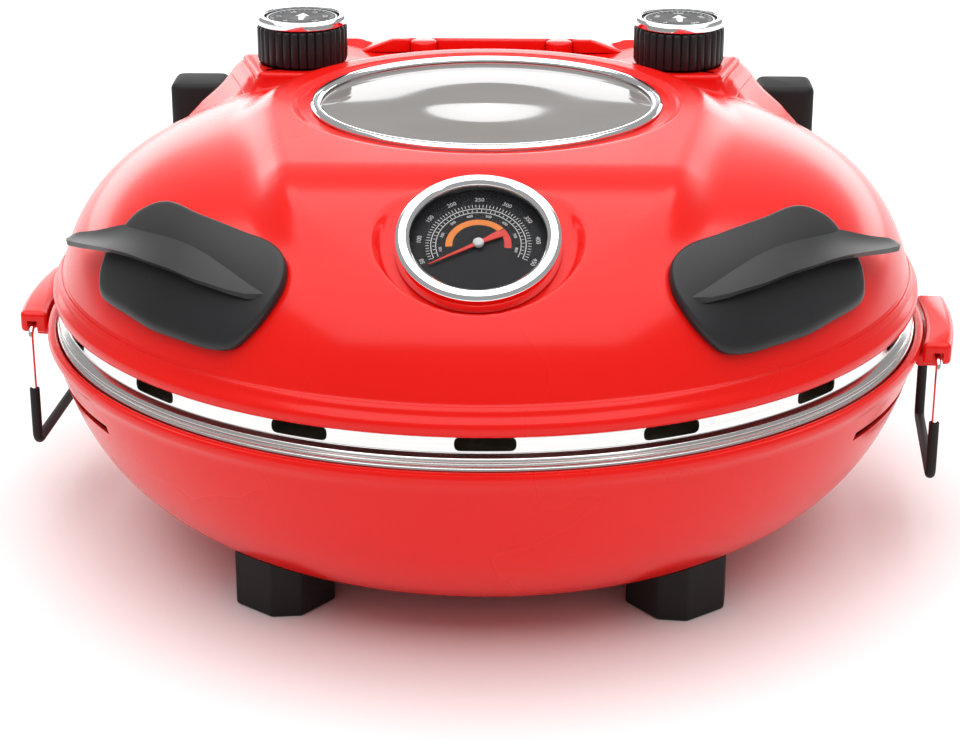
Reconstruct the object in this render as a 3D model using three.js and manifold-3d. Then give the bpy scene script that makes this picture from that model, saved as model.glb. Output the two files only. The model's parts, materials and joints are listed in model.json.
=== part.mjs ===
// Countertop pizza oven: a domed lid with a round window, a thermometer, two rear knobs and two
// front handles, hinged at the back to a bowl-shaped base that holds a baking stone.
// Millimetres, +Z up, +Y to the back. Angles called azimuth are measured about the oven's axis
// from the front, towards +X.
import * as THREE from 'three';
import { ConvexGeometry } from 'three/addons/geometries/ConvexGeometry.js';
import { mergeVertices } from 'three/addons/utils/BufferGeometryUtils.js';
import Module from 'manifold-3d';

const wasm = await Module();
wasm.setup();

// ---------------------------------------------------------------- driving dimensions
const GAP = 0.35;               // clearance between pieces that touch
const SIDES = 36;               // facets round the large turned pieces
const SHEET = 1.3;              // enamelled sheet thickness

const LID_R = 170;              // lid flange radius
const LID_Z = 97;               // lower edge of the lid flange
const BASE_RIM_R = 173.2;       // rolled rim of the base bowl
const BASE_RIM_Z = 85.3;        // top of the rolled rim

const WINDOW_Y = 18;            // the window sits behind the oven's axis
const WINDOW_HOLE_R = 67.2;
const PLATEAU_Z = 163.8;        // flat top round the window
const PLATEAU_R = 86;
const SKIRT_R = 98;             // where the plateau's fillet meets the dome
const DISH_R = 74;
const DISH_DEPTH = 1.5;
const NECK_Y = -72;             // the plateau runs forward as a neck
const NECK_R = 71;

const GAUGE_Y = -119.5;         // thermometer, tilted to face the front
const GAUGE_Z = 147.1;
const GAUGE_TILT = THREE.MathUtils.degToRad(31);
const GAUGE_R = 29;
const WELL_R = 35;

const KNOB_X = 80;
const KNOB_Y = 96;
const KNOB_R = 19.1;
const KNOB_Z = 160.3;           // underside of the knob skirts
const KNOB_TOP = 176.2;
const TOWER_R = 19.5;
const TOWER_Z = 159.8;

const HOUSING_HALF = 108;       // rear control housing on the lid
const HOUSING_FRONT = 74;
const HOUSING_BACK = 152;
const HOUSING_CHAMFER = 18;     // the top slopes down to the back over this length
const HOUSING_TOP = 156.4;
const HOUSING_FLOOR = 118;
const SHOULDER_REACH = 24;      // shoulders slope this far out from the housing's sides
const SHOULDER_Z = 135;         // height where the shoulders end
const SHOULDER_R = 166;

const HINGE_Y = 181;
const HINGE_Z = 90;
const PIN_R = 2.5;
const KNUCKLE_R = 5.5;

const STONE_R = 155;
const STONE_Z = 72.3;
const STONE_T = 12;
const ROD_R = 3.4;              // sheathed heating rod

const HANDLE_AZIMUTH = THREE.MathUtils.degToRad(46);
const EAR_R = 184.6;            // outer face of the curved side ears
const EAR_TOP = 86;
const EAR_THICK = 8.5;
const EAR_HALF = 29;
const EAR_Y = -4;               // middle of an ear before the pair is turned
const EAR_TURN = THREE.MathUtils.degToRad(-4.5);
const BAIL_X = 177;             // hinge line of the carrying bails
const BAIL_Z = 80;
const BAIL_HALF = EAR_HALF + 2.6;
const BAIL_DROP = 47.5;
const WIRE_R = 1.1;
const GRIP_R = 2;
const FOOT_X = 73.5;
const FOOT_Y = 93;

// The origin is under the middle of the object's box, which reaches further back than forward.
const SHIFT_Y = (BASE_RIM_R - HINGE_Y - KNUCKLE_R) / 2;

// ---------------------------------------------------------------- materials
const finish = (color, roughness, metalness) =>
  new THREE.MeshStandardMaterial({ color, roughness, metalness });
const redEnamel = finish('#d81e1a', 0.2, 0.1);
const stainless = finish('#d8d8d6', 0.25, 1);
const chrome = finish('#eef0f2', 0.08, 1);
const sheetSteel = finish('#b4b5b3', 0.4, 0.9);
const blackPlastic = finish('#232325', 0.55, 0);
const blackRubber = finish('#1a1a1a', 0.8, 0);
const stoneware = finish('#d8c6a6', 0.9, 0);
const mineralWool = finish('#cfc9b8', 1, 0);
const glass = finish('#c9d0d0', 0.05, 0);
const ceramic = finish('#f0ede4', 0.6, 0);
const dialBlack = finish('#15161a', 0.5, 0);
const needleRed = finish('#e23b22', 0.5, 0);
const siliconeGrey = finish('#6d6d6a', 0.8, 0);

// ---------------------------------------------------------------- geometry helpers
// Merges shared vertices, drops empty triangles and turns the faces outwards.
function closed(geometry) {
  const bare = geometry.clone();
  bare.deleteAttribute('normal');
  bare.deleteAttribute('uv');
  const merged = mergeVertices(bare, 1e-4);
  const point = merged.attributes.position;
  const faces = [];
  let volume = 0;
  const corner = [new THREE.Vector3(), new THREE.Vector3(), new THREE.Vector3()];
  for (let i = 0; i < merged.index.count; i += 3) {
    const [a, b, c] = [0, 1, 2].map((k) => merged.index.getX(i + k));
    if (a === b || b === c || c === a) continue;
    [a, b, c].forEach((index, k) => corner[k].fromBufferAttribute(point, index));
    volume += corner[0].dot(corner[1].clone().cross(corner[2]));
    faces.push([a, b, c]);
  }
  merged.setIndex(faces.flatMap(([a, b, c]) => (volume < 0 ? [a, c, b] : [a, b, c])));
  return merged;
}

function toSolid(geometry) {
  const mesh = closed(geometry);
  return new wasm.Manifold(new wasm.Mesh({
    numProp: 3,
    vertProperties: new Float32Array(mesh.attributes.position.array),
    triVerts: new Uint32Array(mesh.index.array),
  }));
}

function fromSolid(solid) {
  const mesh = solid.getMesh();
  const geometry = new THREE.BufferGeometry();
  geometry.setAttribute('position', new THREE.BufferAttribute(mesh.vertProperties, 3));
  geometry.setIndex([...mesh.triVerts]);
  return geometry;
}

const combine = (verb) => (first, ...others) =>
  fromSolid(others.reduce((solid, other) => solid[verb](toSolid(other)), toSolid(first)));
const join = combine('add');
const cut = combine('subtract');
const overlap = combine('intersect');

// Turns a closed outline of [radius, height] points about Z.
function turned(outline, sides = SIDES) {
  const points = [...outline, outline[0]].map(([r, z]) => new THREE.Vector2(r, z));
  return new THREE.LatheGeometry(points, sides).rotateX(Math.PI / 2);
}

// A turned piece whose outline starts and ends on the axis.
function turnedSolid(outline, sides = SIDES) {
  const points = outline.map(([r, z]) => new THREE.Vector2(r, z));
  return new THREE.LatheGeometry(points, sides).rotateX(Math.PI / 2);
}

const ring = (inner, outer, low, high, sides = SIDES) =>
  turned([[inner, low], [outer, low], [outer, high], [inner, high]], sides);

const disc = (radius, low, high, sides = SIDES) =>
  new THREE.CylinderGeometry(radius, radius, high - low, sides)
    .rotateX(Math.PI / 2)
    .translate(0, 0, (low + high) / 2);

const block = (x0, x1, y0, y1, z0, z1) =>
  new THREE.BoxGeometry(x1 - x0, y1 - y0, z1 - z0)
    .translate((x0 + x1) / 2, (y0 + y1) / 2, (z0 + z1) / 2);

// A plate with the given outline in X and Y, between two heights.
function plate(outline, low, high) {
  const shape = new THREE.Shape(outline.map(([x, y]) => new THREE.Vector2(x, y)));
  return new THREE.ExtrudeGeometry(shape, { depth: high - low, bevelEnabled: false })
    .translate(0, 0, low);
}

// A plate with the given outline in Y and Z, between two values of X.
const sidePlate = (outline, x0, x1) =>
  plate(outline, x0, x1).rotateX(Math.PI / 2).rotateZ(Math.PI / 2);

// A rectangle's outline with rounded corners.
function roundedRectangle(x0, x1, y0, y1, radius, steps = 3) {
  const centres = [[x1, y1, 0], [x0, y1, 1], [x0, y0, 2], [x1, y0, 3]];
  return centres.flatMap(([x, y, quarter]) => {
    const cx = x - radius * Math.sign(x - (x0 + x1) / 2);
    const cy = y - radius * Math.sign(y - (y0 + y1) / 2);
    return Array.from({ length: steps + 1 }, (_, k) => {
      const angle = (quarter + k / steps) * Math.PI / 2;
      return [cx + radius * Math.cos(angle), cy + radius * Math.sin(angle)];
    });
  });
}

// A path that steps exactly from one waypoint to the next.
class Waypoints extends THREE.Curve {
  constructor(points) {
    super();
    this.points = points.map((p) => new THREE.Vector3(...p));
  }

  getPoint(t) {
    const place = t * (this.points.length - 1);
    const index = Math.min(Math.floor(place + 1e-9), this.points.length - 2);
    return this.points[index].clone().lerp(this.points[index + 1], place - index);
  }

  getPointAt(t) {
    return this.getPoint(t);
  }

  getTangentAt(t) {
    const last = this.points.length - 1;
    const index = Math.round(t * last);
    const before = this.points[Math.max(index - 1, 0)];
    const after = this.points[Math.min(index + 1, last)];
    return after.clone().sub(before).normalize();
  }
}

// A round rod, or a tube where bore is given, along waypoints.
function rod(points, radius, sides, bore = 0) {
  const circle = (r) => Array.from({ length: sides }, (_, k) => new THREE.Vector2(
    r * Math.cos(2 * Math.PI * k / sides),
    r * Math.sin(2 * Math.PI * k / sides),
  ));
  const shape = new THREE.Shape(circle(radius));
  if (bore) shape.holes.push(new THREE.Path(circle(bore)));
  return new THREE.ExtrudeGeometry(shape, {
    steps: points.length - 1,
    extrudePath: new Waypoints(points),
    bevelEnabled: false,
  });
}

// Moves each point of an outline outwards, square to the outline, by a distance.
function offsetOutline(outline, distance) {
  return outline.map(([r, z], i) => {
    const [r0, z0] = outline[Math.max(i - 1, 0)];
    const [r1, z1] = outline[Math.min(i + 1, outline.length - 1)];
    const length = Math.hypot(r1 - r0, z1 - z0);
    return [r + distance * (z1 - z0) / length, z - distance * (r1 - r0) / length];
  });
}

const mirrored = (geometry) => closed(geometry.clone().scale(-1, 1, 1));

// ---------------------------------------------------------------- scene graph
const oven = new THREE.Group();
oven.position.y = SHIFT_Y;
const base = new THREE.Group();
const lid = new THREE.Group();
const gauge = new THREE.Group();
gauge.position.set(0, GAUGE_Y, GAUGE_Z);
gauge.rotation.x = GAUGE_TILT;
lid.add(gauge);
oven.add(base, lid);

function add(parent, name, geometry, material) {
  const mesh = new THREE.Mesh(closed(geometry), material.clone());
  mesh.name = name;
  parent.add(mesh);
  return mesh;
}

// ---------------------------------------------------------------- base bowl
// From the middle of the floor out and up to the rolled rim.
const BOWL = [
  [0, 9], [80, 9], [108, 10.5], [128, 17.5], [142, 27.5], [154, 39.5], [163, 56], [168.5, 70],
  [171, 79], [BASE_RIM_R - 0.4, 81], [BASE_RIM_R, 83.3], [BASE_RIM_R - 1.2, BASE_RIM_Z],
];

function bowlVolume(distance) {
  const side = offsetOutline(BOWL.slice(1), distance);
  const top = BASE_RIM_Z + Math.max(distance, 0);
  return turnedSolid([[0, BOWL[0][1] - distance], ...side, [side.at(-1)[0] - 0.2, top], [0, top]]);
}

// Places a piece drawn about +Z so that it stands square on the bowl's rear wall.
const onBowl = (geometry) => geometry
  .rotateX(-Math.PI / 2 - Math.atan2(9, 16.5))
  .translate(0, 160.8, 52)
  .rotateZ(THREE.MathUtils.degToRad(-22));

function baseShell() {
  const inside = offsetOutline([1, 2, 3, 5, 6, 8].map((i) => BOWL[i]), -SHEET).reverse();
  const outline = [...BOWL, [170.2, BASE_RIM_Z], [169.6, 84], ...inside, [0, BOWL[0][1] + SHEET]];
  const slotAngle = THREE.MathUtils.degToRad(65);
  const sector = (side) => plate([
    [0, 0],
    [200 * Math.sin(side * (slotAngle - 0.19)), -200 * Math.cos(slotAngle - 0.19)],
    [200 * Math.sin(side * (slotAngle + 0.19)), -200 * Math.cos(slotAngle + 0.19)],
  ], 60, 80);
  const cuts = [-1, 1].map((side) => overlap(ring(160, 180, 67.5, 71), sector(side)));
  const glandHole = onBowl(disc(6.4, -12, 12, 16));
  return cut(turnedSolid(outline), ...cuts, glandHole);
}
add(base, 'base_shell', baseShell(), redEnamel);

// Polished pan inside the bowl; its flange carries the closed lid.
const PAN_TOP = 83;
const PAN = [[118, 28], [133, 34], [145, 44], [154, 56], [160.5, 72], [162.6, PAN_TOP]];
function baseLiner() {
  const inside = offsetOutline(PAN, -1).reverse();
  const outline = [[0, 28], ...PAN, [168.4, PAN_TOP], [168.4, PAN_TOP + 0.8], [161.6, PAN_TOP + 0.8],
    ...inside.slice(1), [0, 29]];
  const holes = [-14, 14].map((x) => disc(4.8, 20, 35, 12).translate(x, 108, 0));
  return cut(turnedSolid(outline), ...holes);
}
add(base, 'base_liner', baseLiner(), sheetSteel);
add(base, 'insulation_pad', disc(96, 12, 24, 32), mineralWool);

// Ring-shaped heating rod whose two ends turn away at the back.
function heatingRod(radius, height, endHeight) {
  const halfGap = Math.asin(14 / radius);
  const steps = 30;
  const points = [];
  for (let k = 0; k <= steps; k += 1) {
    const angle = Math.PI / 2 + halfGap + k / steps * (2 * Math.PI - 2 * halfGap);
    points.push([radius * Math.cos(angle), radius * Math.sin(angle), height]);
  }
  const lean = height + (endHeight - height) * 0.25;
  const end = (side) => [[side * 14, 107.4, lean], [side * 14, 108, endHeight]];
  return rod([...end(-1).reverse(), ...points, ...end(1)], ROD_R, 6);
}
add(base, 'lower_heating_element', heatingRod(104, 50, 20), sheetSteel);
add(base, 'terminal_block', block(-9, 9, 102, 114, 16, 26), ceramic);
for (const [side, label] of [[-1, 'left'], [1, 'right']]) {
  const post = block(98, 110, -5, 5, 29.35, 46);
  add(base, `element_support_${label}`, side < 0 ? mirrored(post) : post, sheetSteel);
}

// Wire-thin tray ring that the stone lies in, on four legs.
function stoneTray() {
  const tray = turned([[138, 70.3], [158.6, 70.3], [158.6, 78], [157.4, 78], [157.4, 71.9],
    [138, 71.9]]);
  const legs = [45, 135, 225, 315].map((degrees) => block(142, 147, -6, 6, 50.2, 71)
    .rotateZ(THREE.MathUtils.degToRad(degrees)));
  return join(tray, ...legs);
}
add(base, 'stone_tray', stoneTray(), sheetSteel);
add(base, 'baking_stone', turnedSolid([
  [0, STONE_Z], [STONE_R - 1.5, STONE_Z], [STONE_R, STONE_Z + 1.5],
  [STONE_R, STONE_Z + STONE_T - 1.5], [STONE_R - 1.5, STONE_Z + STONE_T], [0, STONE_Z + STONE_T],
]), stoneware);

// Eight-sided feet, cut to the bowl above them.
const underBowl = bowlVolume(GAP);
for (const [side, label] of [[-1, 'left'], [1, 'right']]) {
  for (const [depth, end] of [[-1, 'front'], [1, 'rear']]) {
    const turn = Math.atan2(depth * FOOT_Y, side * FOOT_X);
    const foot = plate(roundedRectangle(-17, 17, -17, 17, 8, 1), 0, 36)
      .rotateZ(turn)
      .translate(side * FOOT_X, depth * FOOT_Y, 0);
    add(base, `foot_${end}_${label}`, cut(foot, underBowl), blackRubber);
  }
}

// ---------------------------------------------------------------- side ears and bails
// A curved bar beside the rim, with a tongue under the rim to the bowl and a hole at each end.
function ear(side) {
  const arc = (radius, from, to) => Array.from({ length: 7 }, (_, k) => {
    const y = from + (to - from) * k / 6;
    return [Math.sqrt(radius * radius - y * y), y];
  });
  const ends = [EAR_Y - EAR_HALF, EAR_Y + EAR_HALF];
  const outline = [...arc(EAR_R, ...ends), ...arc(BASE_RIM_R + 0.8, ...ends).reverse()];
  const bar = plate(outline, EAR_TOP - EAR_THICK, EAR_TOP);
  const tongue = block(165, 179, EAR_Y - 20, EAR_Y + 20, 73, 79);
  const holes = [-1, 1].map((end) => disc(WIRE_R + 0.5, -9, 9, 10)
    .rotateX(Math.PI / 2)
    .translate(BAIL_X, EAR_Y + end * EAR_HALF, BAIL_Z));
  const bowl = underBowl.clone().rotateZ(-side * EAR_TURN);
  return cut(join(bar, cut(tongue, bowl)), ...holes);
}

// Half of a bail's course, from the ear's end to the middle of its grip.
function bailHalf(side, from = 0) {
  const out = EAR_Y + side * BAIL_HALF;
  const low = BAIL_Z - BAIL_DROP;
  return [
    [BAIL_X, EAR_Y + side * (EAR_HALF - 7), BAIL_Z],
    [BAIL_X, out - side * 1.6, BAIL_Z],
    [BAIL_X, out - side * 0.5, BAIL_Z - 0.5],
    [BAIL_X, out, BAIL_Z - 1.8],
    [BAIL_X, out, BAIL_Z - 25],
    [BAIL_X, out, low + 4],
    [BAIL_X, out - side * 1.2, low + 1.2],
    [BAIL_X, out - side * 4, low],
  ].slice(from);
}
const bailWire = rod([...bailHalf(-1), ...bailHalf(1).reverse()], WIRE_R, 6);
const bailSleeve = rod([...bailHalf(-1, 4), ...bailHalf(1, 4).reverse()], GRIP_R, 6, WIRE_R + 0.4);

const sides = new THREE.Group();
sides.rotation.z = EAR_TURN;
base.add(sides);
for (const [side, label] of [[-1, 'left'], [1, 'right']]) {
  const place = (geometry) => (side < 0 ? mirrored(geometry) : geometry);
  add(sides, `ear_${label}`, place(ear(side)), redEnamel);
  add(sides, `bail_wire_${label}`, place(bailWire), chrome);
  add(sides, `bail_grip_${label}`, place(bailSleeve), blackRubber);
}

// ---------------------------------------------------------------- hinge
const barrel = (radius, x0, x1) => disc(radius, x0, x1, 20)
  .rotateY(Math.PI / 2)
  .translate(0, HINGE_Y, HINGE_Z);
const pinBore = barrel(PIN_R + 0.3, -80, 80);

function hingeBracket() {
  const web = sidePlate([
    [160, 62], [175, 62], [HINGE_Y + KNUCKLE_R - 0.2, 84], [HINGE_Y + KNUCKLE_R - 0.2, HINGE_Z],
    [HINGE_Y - KNUCKLE_R + 0.2, HINGE_Z], [HINGE_Y - KNUCKLE_R - 0.6, 80], [160, 80],
  ], -27, 27);
  return cut(join(cut(web, underBowl), barrel(KNUCKLE_R, -27, 27)), pinBore);
}
add(base, 'hinge_bracket', hingeBracket(), sheetSteel);
add(base, 'hinge_pin', barrel(PIN_R, -46.5, 46.5), sheetSteel);

// Bush in the back of the bowl for the supply lead.
add(base, 'cord_gland', onBowl(turned([
  [3.6, -6], [5.8, -6], [5.8, 0.7], [9, 0.7], [7, 7], [3.6, 7],
], 16)), blackRubber);

// ---------------------------------------------------------------- lid shell
// From the flange up and inwards over the dome.
const DOME = [
  [LID_R - 0.8, LID_Z], [LID_R, LID_Z + 1.2], [LID_R, LID_Z + 3.5], [LID_R - 2.6, LID_Z + 6],
  [166, 107], [162.4, 117], [156.6, 128], [149.6, 136.5], [140.5, 143.5], [128, 149.5],
  [114, 154], [98, 157], [80, 159], [40, 161], [0, 162],
];

function domeHeight(radius) {
  const i = DOME.findIndex(([r]) => r <= radius);
  const [r0, z0] = DOME[i - 1];
  const [r1, z1] = DOME[i];
  return z0 + (z1 - z0) * (r0 - radius) / (r0 - r1);
}

// Solid under the bare dome, grown by a distance; pieces that lie on the dome are cut with it.
const domeLayer = (distance) => turnedSolid([
  [0, 90], [LID_R - 0.8 + distance, 90], ...offsetOutline(DOME.slice(0, 12), distance),
  [0, 157 + distance],
], 72);
const overDome = domeLayer(GAP);
const underHandle = domeLayer(3 * GAP);
const overHandle = domeLayer(3 * GAP + 3);

// Distance outside the keyhole made by the plateau's circle, the neck's circle and their tangents.
function keyholeDistance(x, y) {
  const length = WINDOW_Y - NECK_Y;
  const taper = (PLATEAU_R - NECK_R) / length;
  const along = WINDOW_Y - y;
  const across = Math.abs(x);
  const square = Math.sqrt(1 - taper * taper);
  const slide = along * square - across * taper;
  if (slide < 0) return Math.hypot(across, along) - PLATEAU_R;
  if (slide > length * square) return Math.hypot(across, along - length) - NECK_R;
  return across * square + along * taper - PLATEAU_R;
}

// Height of the lid's outer surface: the dome, raised inside the keyhole, where it is flat round
// the window and slopes forward to the thermometer.
function lidHeight(x, y) {
  const dome = domeHeight(Math.max(Math.hypot(x, y), 1e-6));
  const slope = GAUGE_Z + 2 + (y - GAUGE_Y) * Math.tan(GAUGE_TILT);
  const top = Math.max(Math.min(PLATEAU_Z, slope), dome);
  const fall = THREE.MathUtils.smoothstep(keyholeDistance(x, y), 0, SKIRT_R - PLATEAU_R);
  const dish = 1 - THREE.MathUtils.smoothstep(Math.hypot(x, y - WINDOW_Y), DISH_R, DISH_R + 3);
  return top + (dome - top) * fall - DISH_DEPTH * dish;
}

// Solid under the lid's surface. Rings near the window are centred on it, and the others move
// to the oven's axis as they grow.
function domeVolume(inset, bottom) {
  const flange = offsetOutline(DOME.slice(0, 8), -inset);
  const radii = [140.5, 128, 114, 105, SKIRT_R, 92, PLATEAU_R, 77, DISH_R, 40];
  const count = flange.length;
  const outline = [[0, bottom], [flange[0][0], bottom], ...flange,
    ...radii.map((r) => [r, 0]), [0, 0]];
  const geometry = turnedSolid(outline);
  const point = geometry.attributes.position;
  for (let i = 0; i < point.count; i += 1) {
    const row = i % outline.length - count - 2;
    if (row < 0) continue;
    const radius = radii[row] ?? 0;
    const shift = WINDOW_Y * THREE.MathUtils.clamp((150 - radius) / (150 - SKIRT_R), 0, 1);
    const x = point.getX(i);
    const y = point.getY(i) + shift;
    point.setXYZ(i, x, y, lidHeight(x, y) - inset);
  }
  return geometry;
}

// The well round the thermometer: everything above its tilted floor.
const gaugeWell = (radius, floor) => disc(radius, floor, 40, 20)
  .rotateX(GAUGE_TILT)
  .translate(0, GAUGE_Y, GAUGE_Z);

// The housing narrows towards the front, and its top slopes down at the back.
function housingVolume(inset) {
  const back = HOUSING_BACK - inset;
  const front = HOUSING_FRONT + inset;
  const side = HOUSING_HALF - inset;
  const top = HOUSING_TOP - inset;
  const low = HOUSING_FLOOR + inset;
  const plan = [[side - 11, front], [side, 112], [side, back], [-side, back], [-side, 112],
    [11 - side, front]];
  const profile = [[front - 1, low], [back + 1, low], [back + 1, top - 12],
    [HOUSING_BACK - HOUSING_CHAMFER - inset * 0.4, top], [front - 1, top]];
  return overlap(plate(plan, low, top), sidePlate(profile, -side - 1, side + 1));
}

// Shoulders run from the top of the housing's sides down to the sides of the dome.
function shoulderVolume(inset) {
  const level = (reach, z) => {
    const out = HOUSING_HALF + reach - 1.5 * inset;
    return [[out - 11, HOUSING_FRONT + inset], [out, 112], [out, 130 - inset]]
      .flatMap(([x, y]) => [new THREE.Vector3(x, y, z), new THREE.Vector3(-x, y, z)]);
  };
  const points = [...level(0.5, HOUSING_TOP - inset), ...level(SHOULDER_REACH, SHOULDER_Z),
    ...level(SHOULDER_REACH, 108 + inset)];
  return overlap(new ConvexGeometry(points), disc(SHOULDER_R - inset, 100, 170, 72));
}

const towerVolume = (side, inset) => disc(TOWER_R - inset, 125, TOWER_Z - inset, 20)
  .translate(side * KNOB_X, KNOB_Y, 0);

const lidVolume = (inset, bottom) => join(
  cut(domeVolume(inset, bottom), gaugeWell(WELL_R + inset, -inset)),
  housingVolume(inset),
  shoulderVolume(inset),
  towerVolume(-1, inset),
  towerVolume(1, inset),
);

function lidShell() {
  const holes = [
    disc(WINDOW_HOLE_R, 140, 180).translate(0, WINDOW_Y, 0),
    disc(24, -20, 20, 24).rotateX(GAUGE_TILT).translate(0, GAUGE_Y, GAUGE_Z),
    ...[-1, 1].map((side) => disc(4.6, 150, 170, 12).translate(side * KNOB_X, KNOB_Y, 0)),
  ];
  return cut(lidVolume(0, LID_Z), lidVolume(SHEET, LID_Z - 1), ...holes);
}
add(lid, 'lid_shell', lidShell(), redEnamel);

function hingeArm() {
  const arm = sidePlate([
    [HOUSING_BACK + GAP, 143], [158, 143], [HINGE_Y + 4.8, 101], [HINGE_Y + KNUCKLE_R - 0.2, 90],
    [HINGE_Y - KNUCKLE_R + 0.2, 90], [172.8, 104], [HOUSING_BACK + GAP, 122],
  ], 28, 45);
  return cut(join(cut(arm, overDome), barrel(KNUCKLE_R, 28, 45)), pinBore);
}
add(lid, 'hinge_arm_left', mirrored(hingeArm()), redEnamel);
add(lid, 'hinge_arm_right', hingeArm(), redEnamel);

// ---------------------------------------------------------------- vent ring and lid liner
const VENT_TURN = 0.02;
function ventRing() {
  const band = turned([
    [166, 101], [166, 90.4], [168.2, 89.3], [168.9, 88.2], [168.2, 87.1], [167.4, 86.5],
    [169.1, 85.9], [169.4, 85], [168.8, 84.2], [163, 84.2], [163, 85.2], [166.2, 85.4],
    [165.4, 87.5], [165, 101],
  ]);
  const vents = Array.from({ length: 16 }, (_, k) => plate(
    roundedRectangle(-10.5, 10.5, -2.5, 2.5, 2.3, 1), 155, 175,
  ).rotateX(Math.PI / 2).translate(0, 0, 93.6).rotateZ(k * Math.PI / 8 + VENT_TURN));
  return cut(band, ...vents);
}
add(lid, 'vent_ring', ventRing(), stainless);

const REFLECTOR = [[164.4, 98.5], [164.4, 100.8], [161, 104.5], [150, 115.5], [134, 125.5],
  [112, 132.5], [60, 137], [0, 138]];
function lidLiner() {
  const inside = offsetOutline(REFLECTOR.slice(1, -1), -1).reverse();
  const dome = turnedSolid([[0, 137], ...inside, [163.2, 98.5], ...REFLECTOR]);
  return cut(
    dome,
    disc(70, 120, 145).translate(0, WINDOW_Y, 0),
    disc(4.5, -40, 10, 12).rotateX(GAUGE_TILT).translate(0, GAUGE_Y, GAUGE_Z),
    ...[-14, 14].map((x) => disc(4.8, 120, 145, 12).translate(x, 108, 0)),
  );
}
add(lid, 'lid_liner', lidLiner(), sheetSteel);
add(lid, 'upper_heating_element', heatingRod(120, 117, 143), sheetSteel);
add(lid, 'element_hanger_left', block(-125, -115, -3, 3, 120.75, 126.9), sheetSteel);
add(lid, 'element_hanger_right', block(115, 125, -3, 3, 120.75, 126.9), sheetSteel);

// ---------------------------------------------------------------- window
const windowPart = (geometry) => geometry.translate(0, WINDOW_Y, 0);
add(lid, 'window_bezel', windowPart(turned([
  [65.4, 162.7], [65.4, 163.6], [66.4, 164.6], [68.6, 164.6], [69.6, 163.6], [69.6, 162.7],
])), chrome);
add(lid, 'window_glass', windowPart(disc(66.8, 158.9, 162.35)), glass);
add(lid, 'window_gasket', windowPart(ring(61, 67, 156.5, 158.6)), siliconeGrey);
add(lid, 'window_frame', windowPart(turned([
  [60.5, 154.8], [67.6, 154.8], [67.6, 137.6], [68.8, 137.6], [68.8, 159], [73, 159],
  [73, 160.5], [67.5, 160.5], [67.5, 156.2], [60.5, 156.2],
])), sheetSteel);

// ---------------------------------------------------------------- thermometer
add(gauge, 'gauge_case', turnedSolid([
  [0, -6.5], [23.6, -6.5], [23.6, 0.35], [26.6, 0.35], [26.6, 5.2], [25.7, 5.2], [25.7, 1.35],
  [22.6, 1.35], [22.6, -5.5], [0, -5.5],
], 28), sheetSteel);
add(gauge, 'gauge_dial', disc(25.3, 1.7, 2.3, 32), dialBlack);
add(gauge, 'gauge_lens', disc(25.3, 4.7, 5.4, 32), glass);
add(gauge, 'gauge_bezel', turned([
  [23.4, 5.75], [23.8, 7], [25.2, 8], [27.4, 7.8], [28.7, 6.6], [GAUGE_R, 4.6], [GAUGE_R, 0.35],
  [27, 0.35], [27, 5.75],
], 28), chrome);
add(gauge, 'gauge_stem', disc(3, -36, -6.85, 12), stainless);
add(gauge, 'gauge_nut', cut(disc(6.5, -10, -7.2, 6), disc(3.4, -12, -5, 12)), stainless);

// The pointer rests at the low end of the scale, at eight o'clock.
const pointer = plate([[-0.9, -8], [0.9, -8], [0.8, 0], [0.25, 19.5], [-0.25, 19.5], [-0.8, 0]], 3, 3.5);
const needle = join(pointer, disc(2.5, 2.7, 4.2, 16));
add(gauge, 'gauge_needle', needle.rotateZ(THREE.MathUtils.degToRad(120)), needleRed);

// ---------------------------------------------------------------- knobs and controls
function knobBody() {
  const ribs = 24;
  const outline = Array.from({ length: ribs * 2 }, (_, k) => {
    const radius = k % 2 ? KNOB_R - 0.9 : KNOB_R;
    const angle = Math.PI * k / ribs;
    return [radius * Math.cos(angle), radius * Math.sin(angle)];
  });
  const body = join(plate(outline, KNOB_Z, KNOB_TOP), disc(15.6, KNOB_TOP - 1, KNOB_TOP + 2.6, 32));
  return cut(body, disc(3.6, 150, 170, 12));
}
for (const [side, label, unit] of [[-1, 'timer', 'timer_unit'], [1, 'heat', 'thermostat_unit']]) {
  const place = (geometry) => geometry.translate(side * KNOB_X, KNOB_Y, 0);
  add(lid, `${label}_knob`, place(knobBody()), blackPlastic);
  add(lid, `${label}_knob_ring`, place(turned([
    [16, KNOB_TOP + GAP], [KNOB_R, KNOB_TOP + GAP], [KNOB_R, KNOB_TOP + 2.6],
    [KNOB_R - 1, KNOB_TOP + 3.6], [16, KNOB_TOP + 3.6],
  ], 24)), chrome);
  add(lid, `${label}_shaft`, place(disc(3.2, 155, 169.5, 12)), stainless);
  add(lid, unit, place(plate(roundedRectangle(-14, 14, -14, 14, 4, 1), 134, 154.6)), sheetSteel);
}

// ---------------------------------------------------------------- rear cover and bumpers
// A ridge that is highest along its front edge and slopes down at its ends and to the back.
function rearCover() {
  const low = HOUSING_TOP + GAP;
  const ends = plate([[-58, 0], [58, 0], [43, 5.6], [-43, 5.6]], 0, 10)
    .rotateX(Math.PI / 2)
    .translate(0, 134, low);
  const bar = overlap(ends, sidePlate([[123, low - 1], [135, low - 1], [135, 159.1],
    [127, low + 6], [123, low + 6]], -60, 60));
  const notches = [-1, 1].map((side) => disc(6.2, 150, 170, 16).translate(side * 29.5, 123, 0));
  return cut(bar, ...notches);
}
add(lid, 'rear_cover', rearCover(), redEnamel);

function bumper() {
  const pad = join(
    plate(roundedRectangle(118, 142.5, 126, 150, 5, 2), 117, 141),
    block(HOUSING_HALF + GAP, 122, 130, 146, 121, 137),
  );
  return cut(pad, overDome);
}

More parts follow.
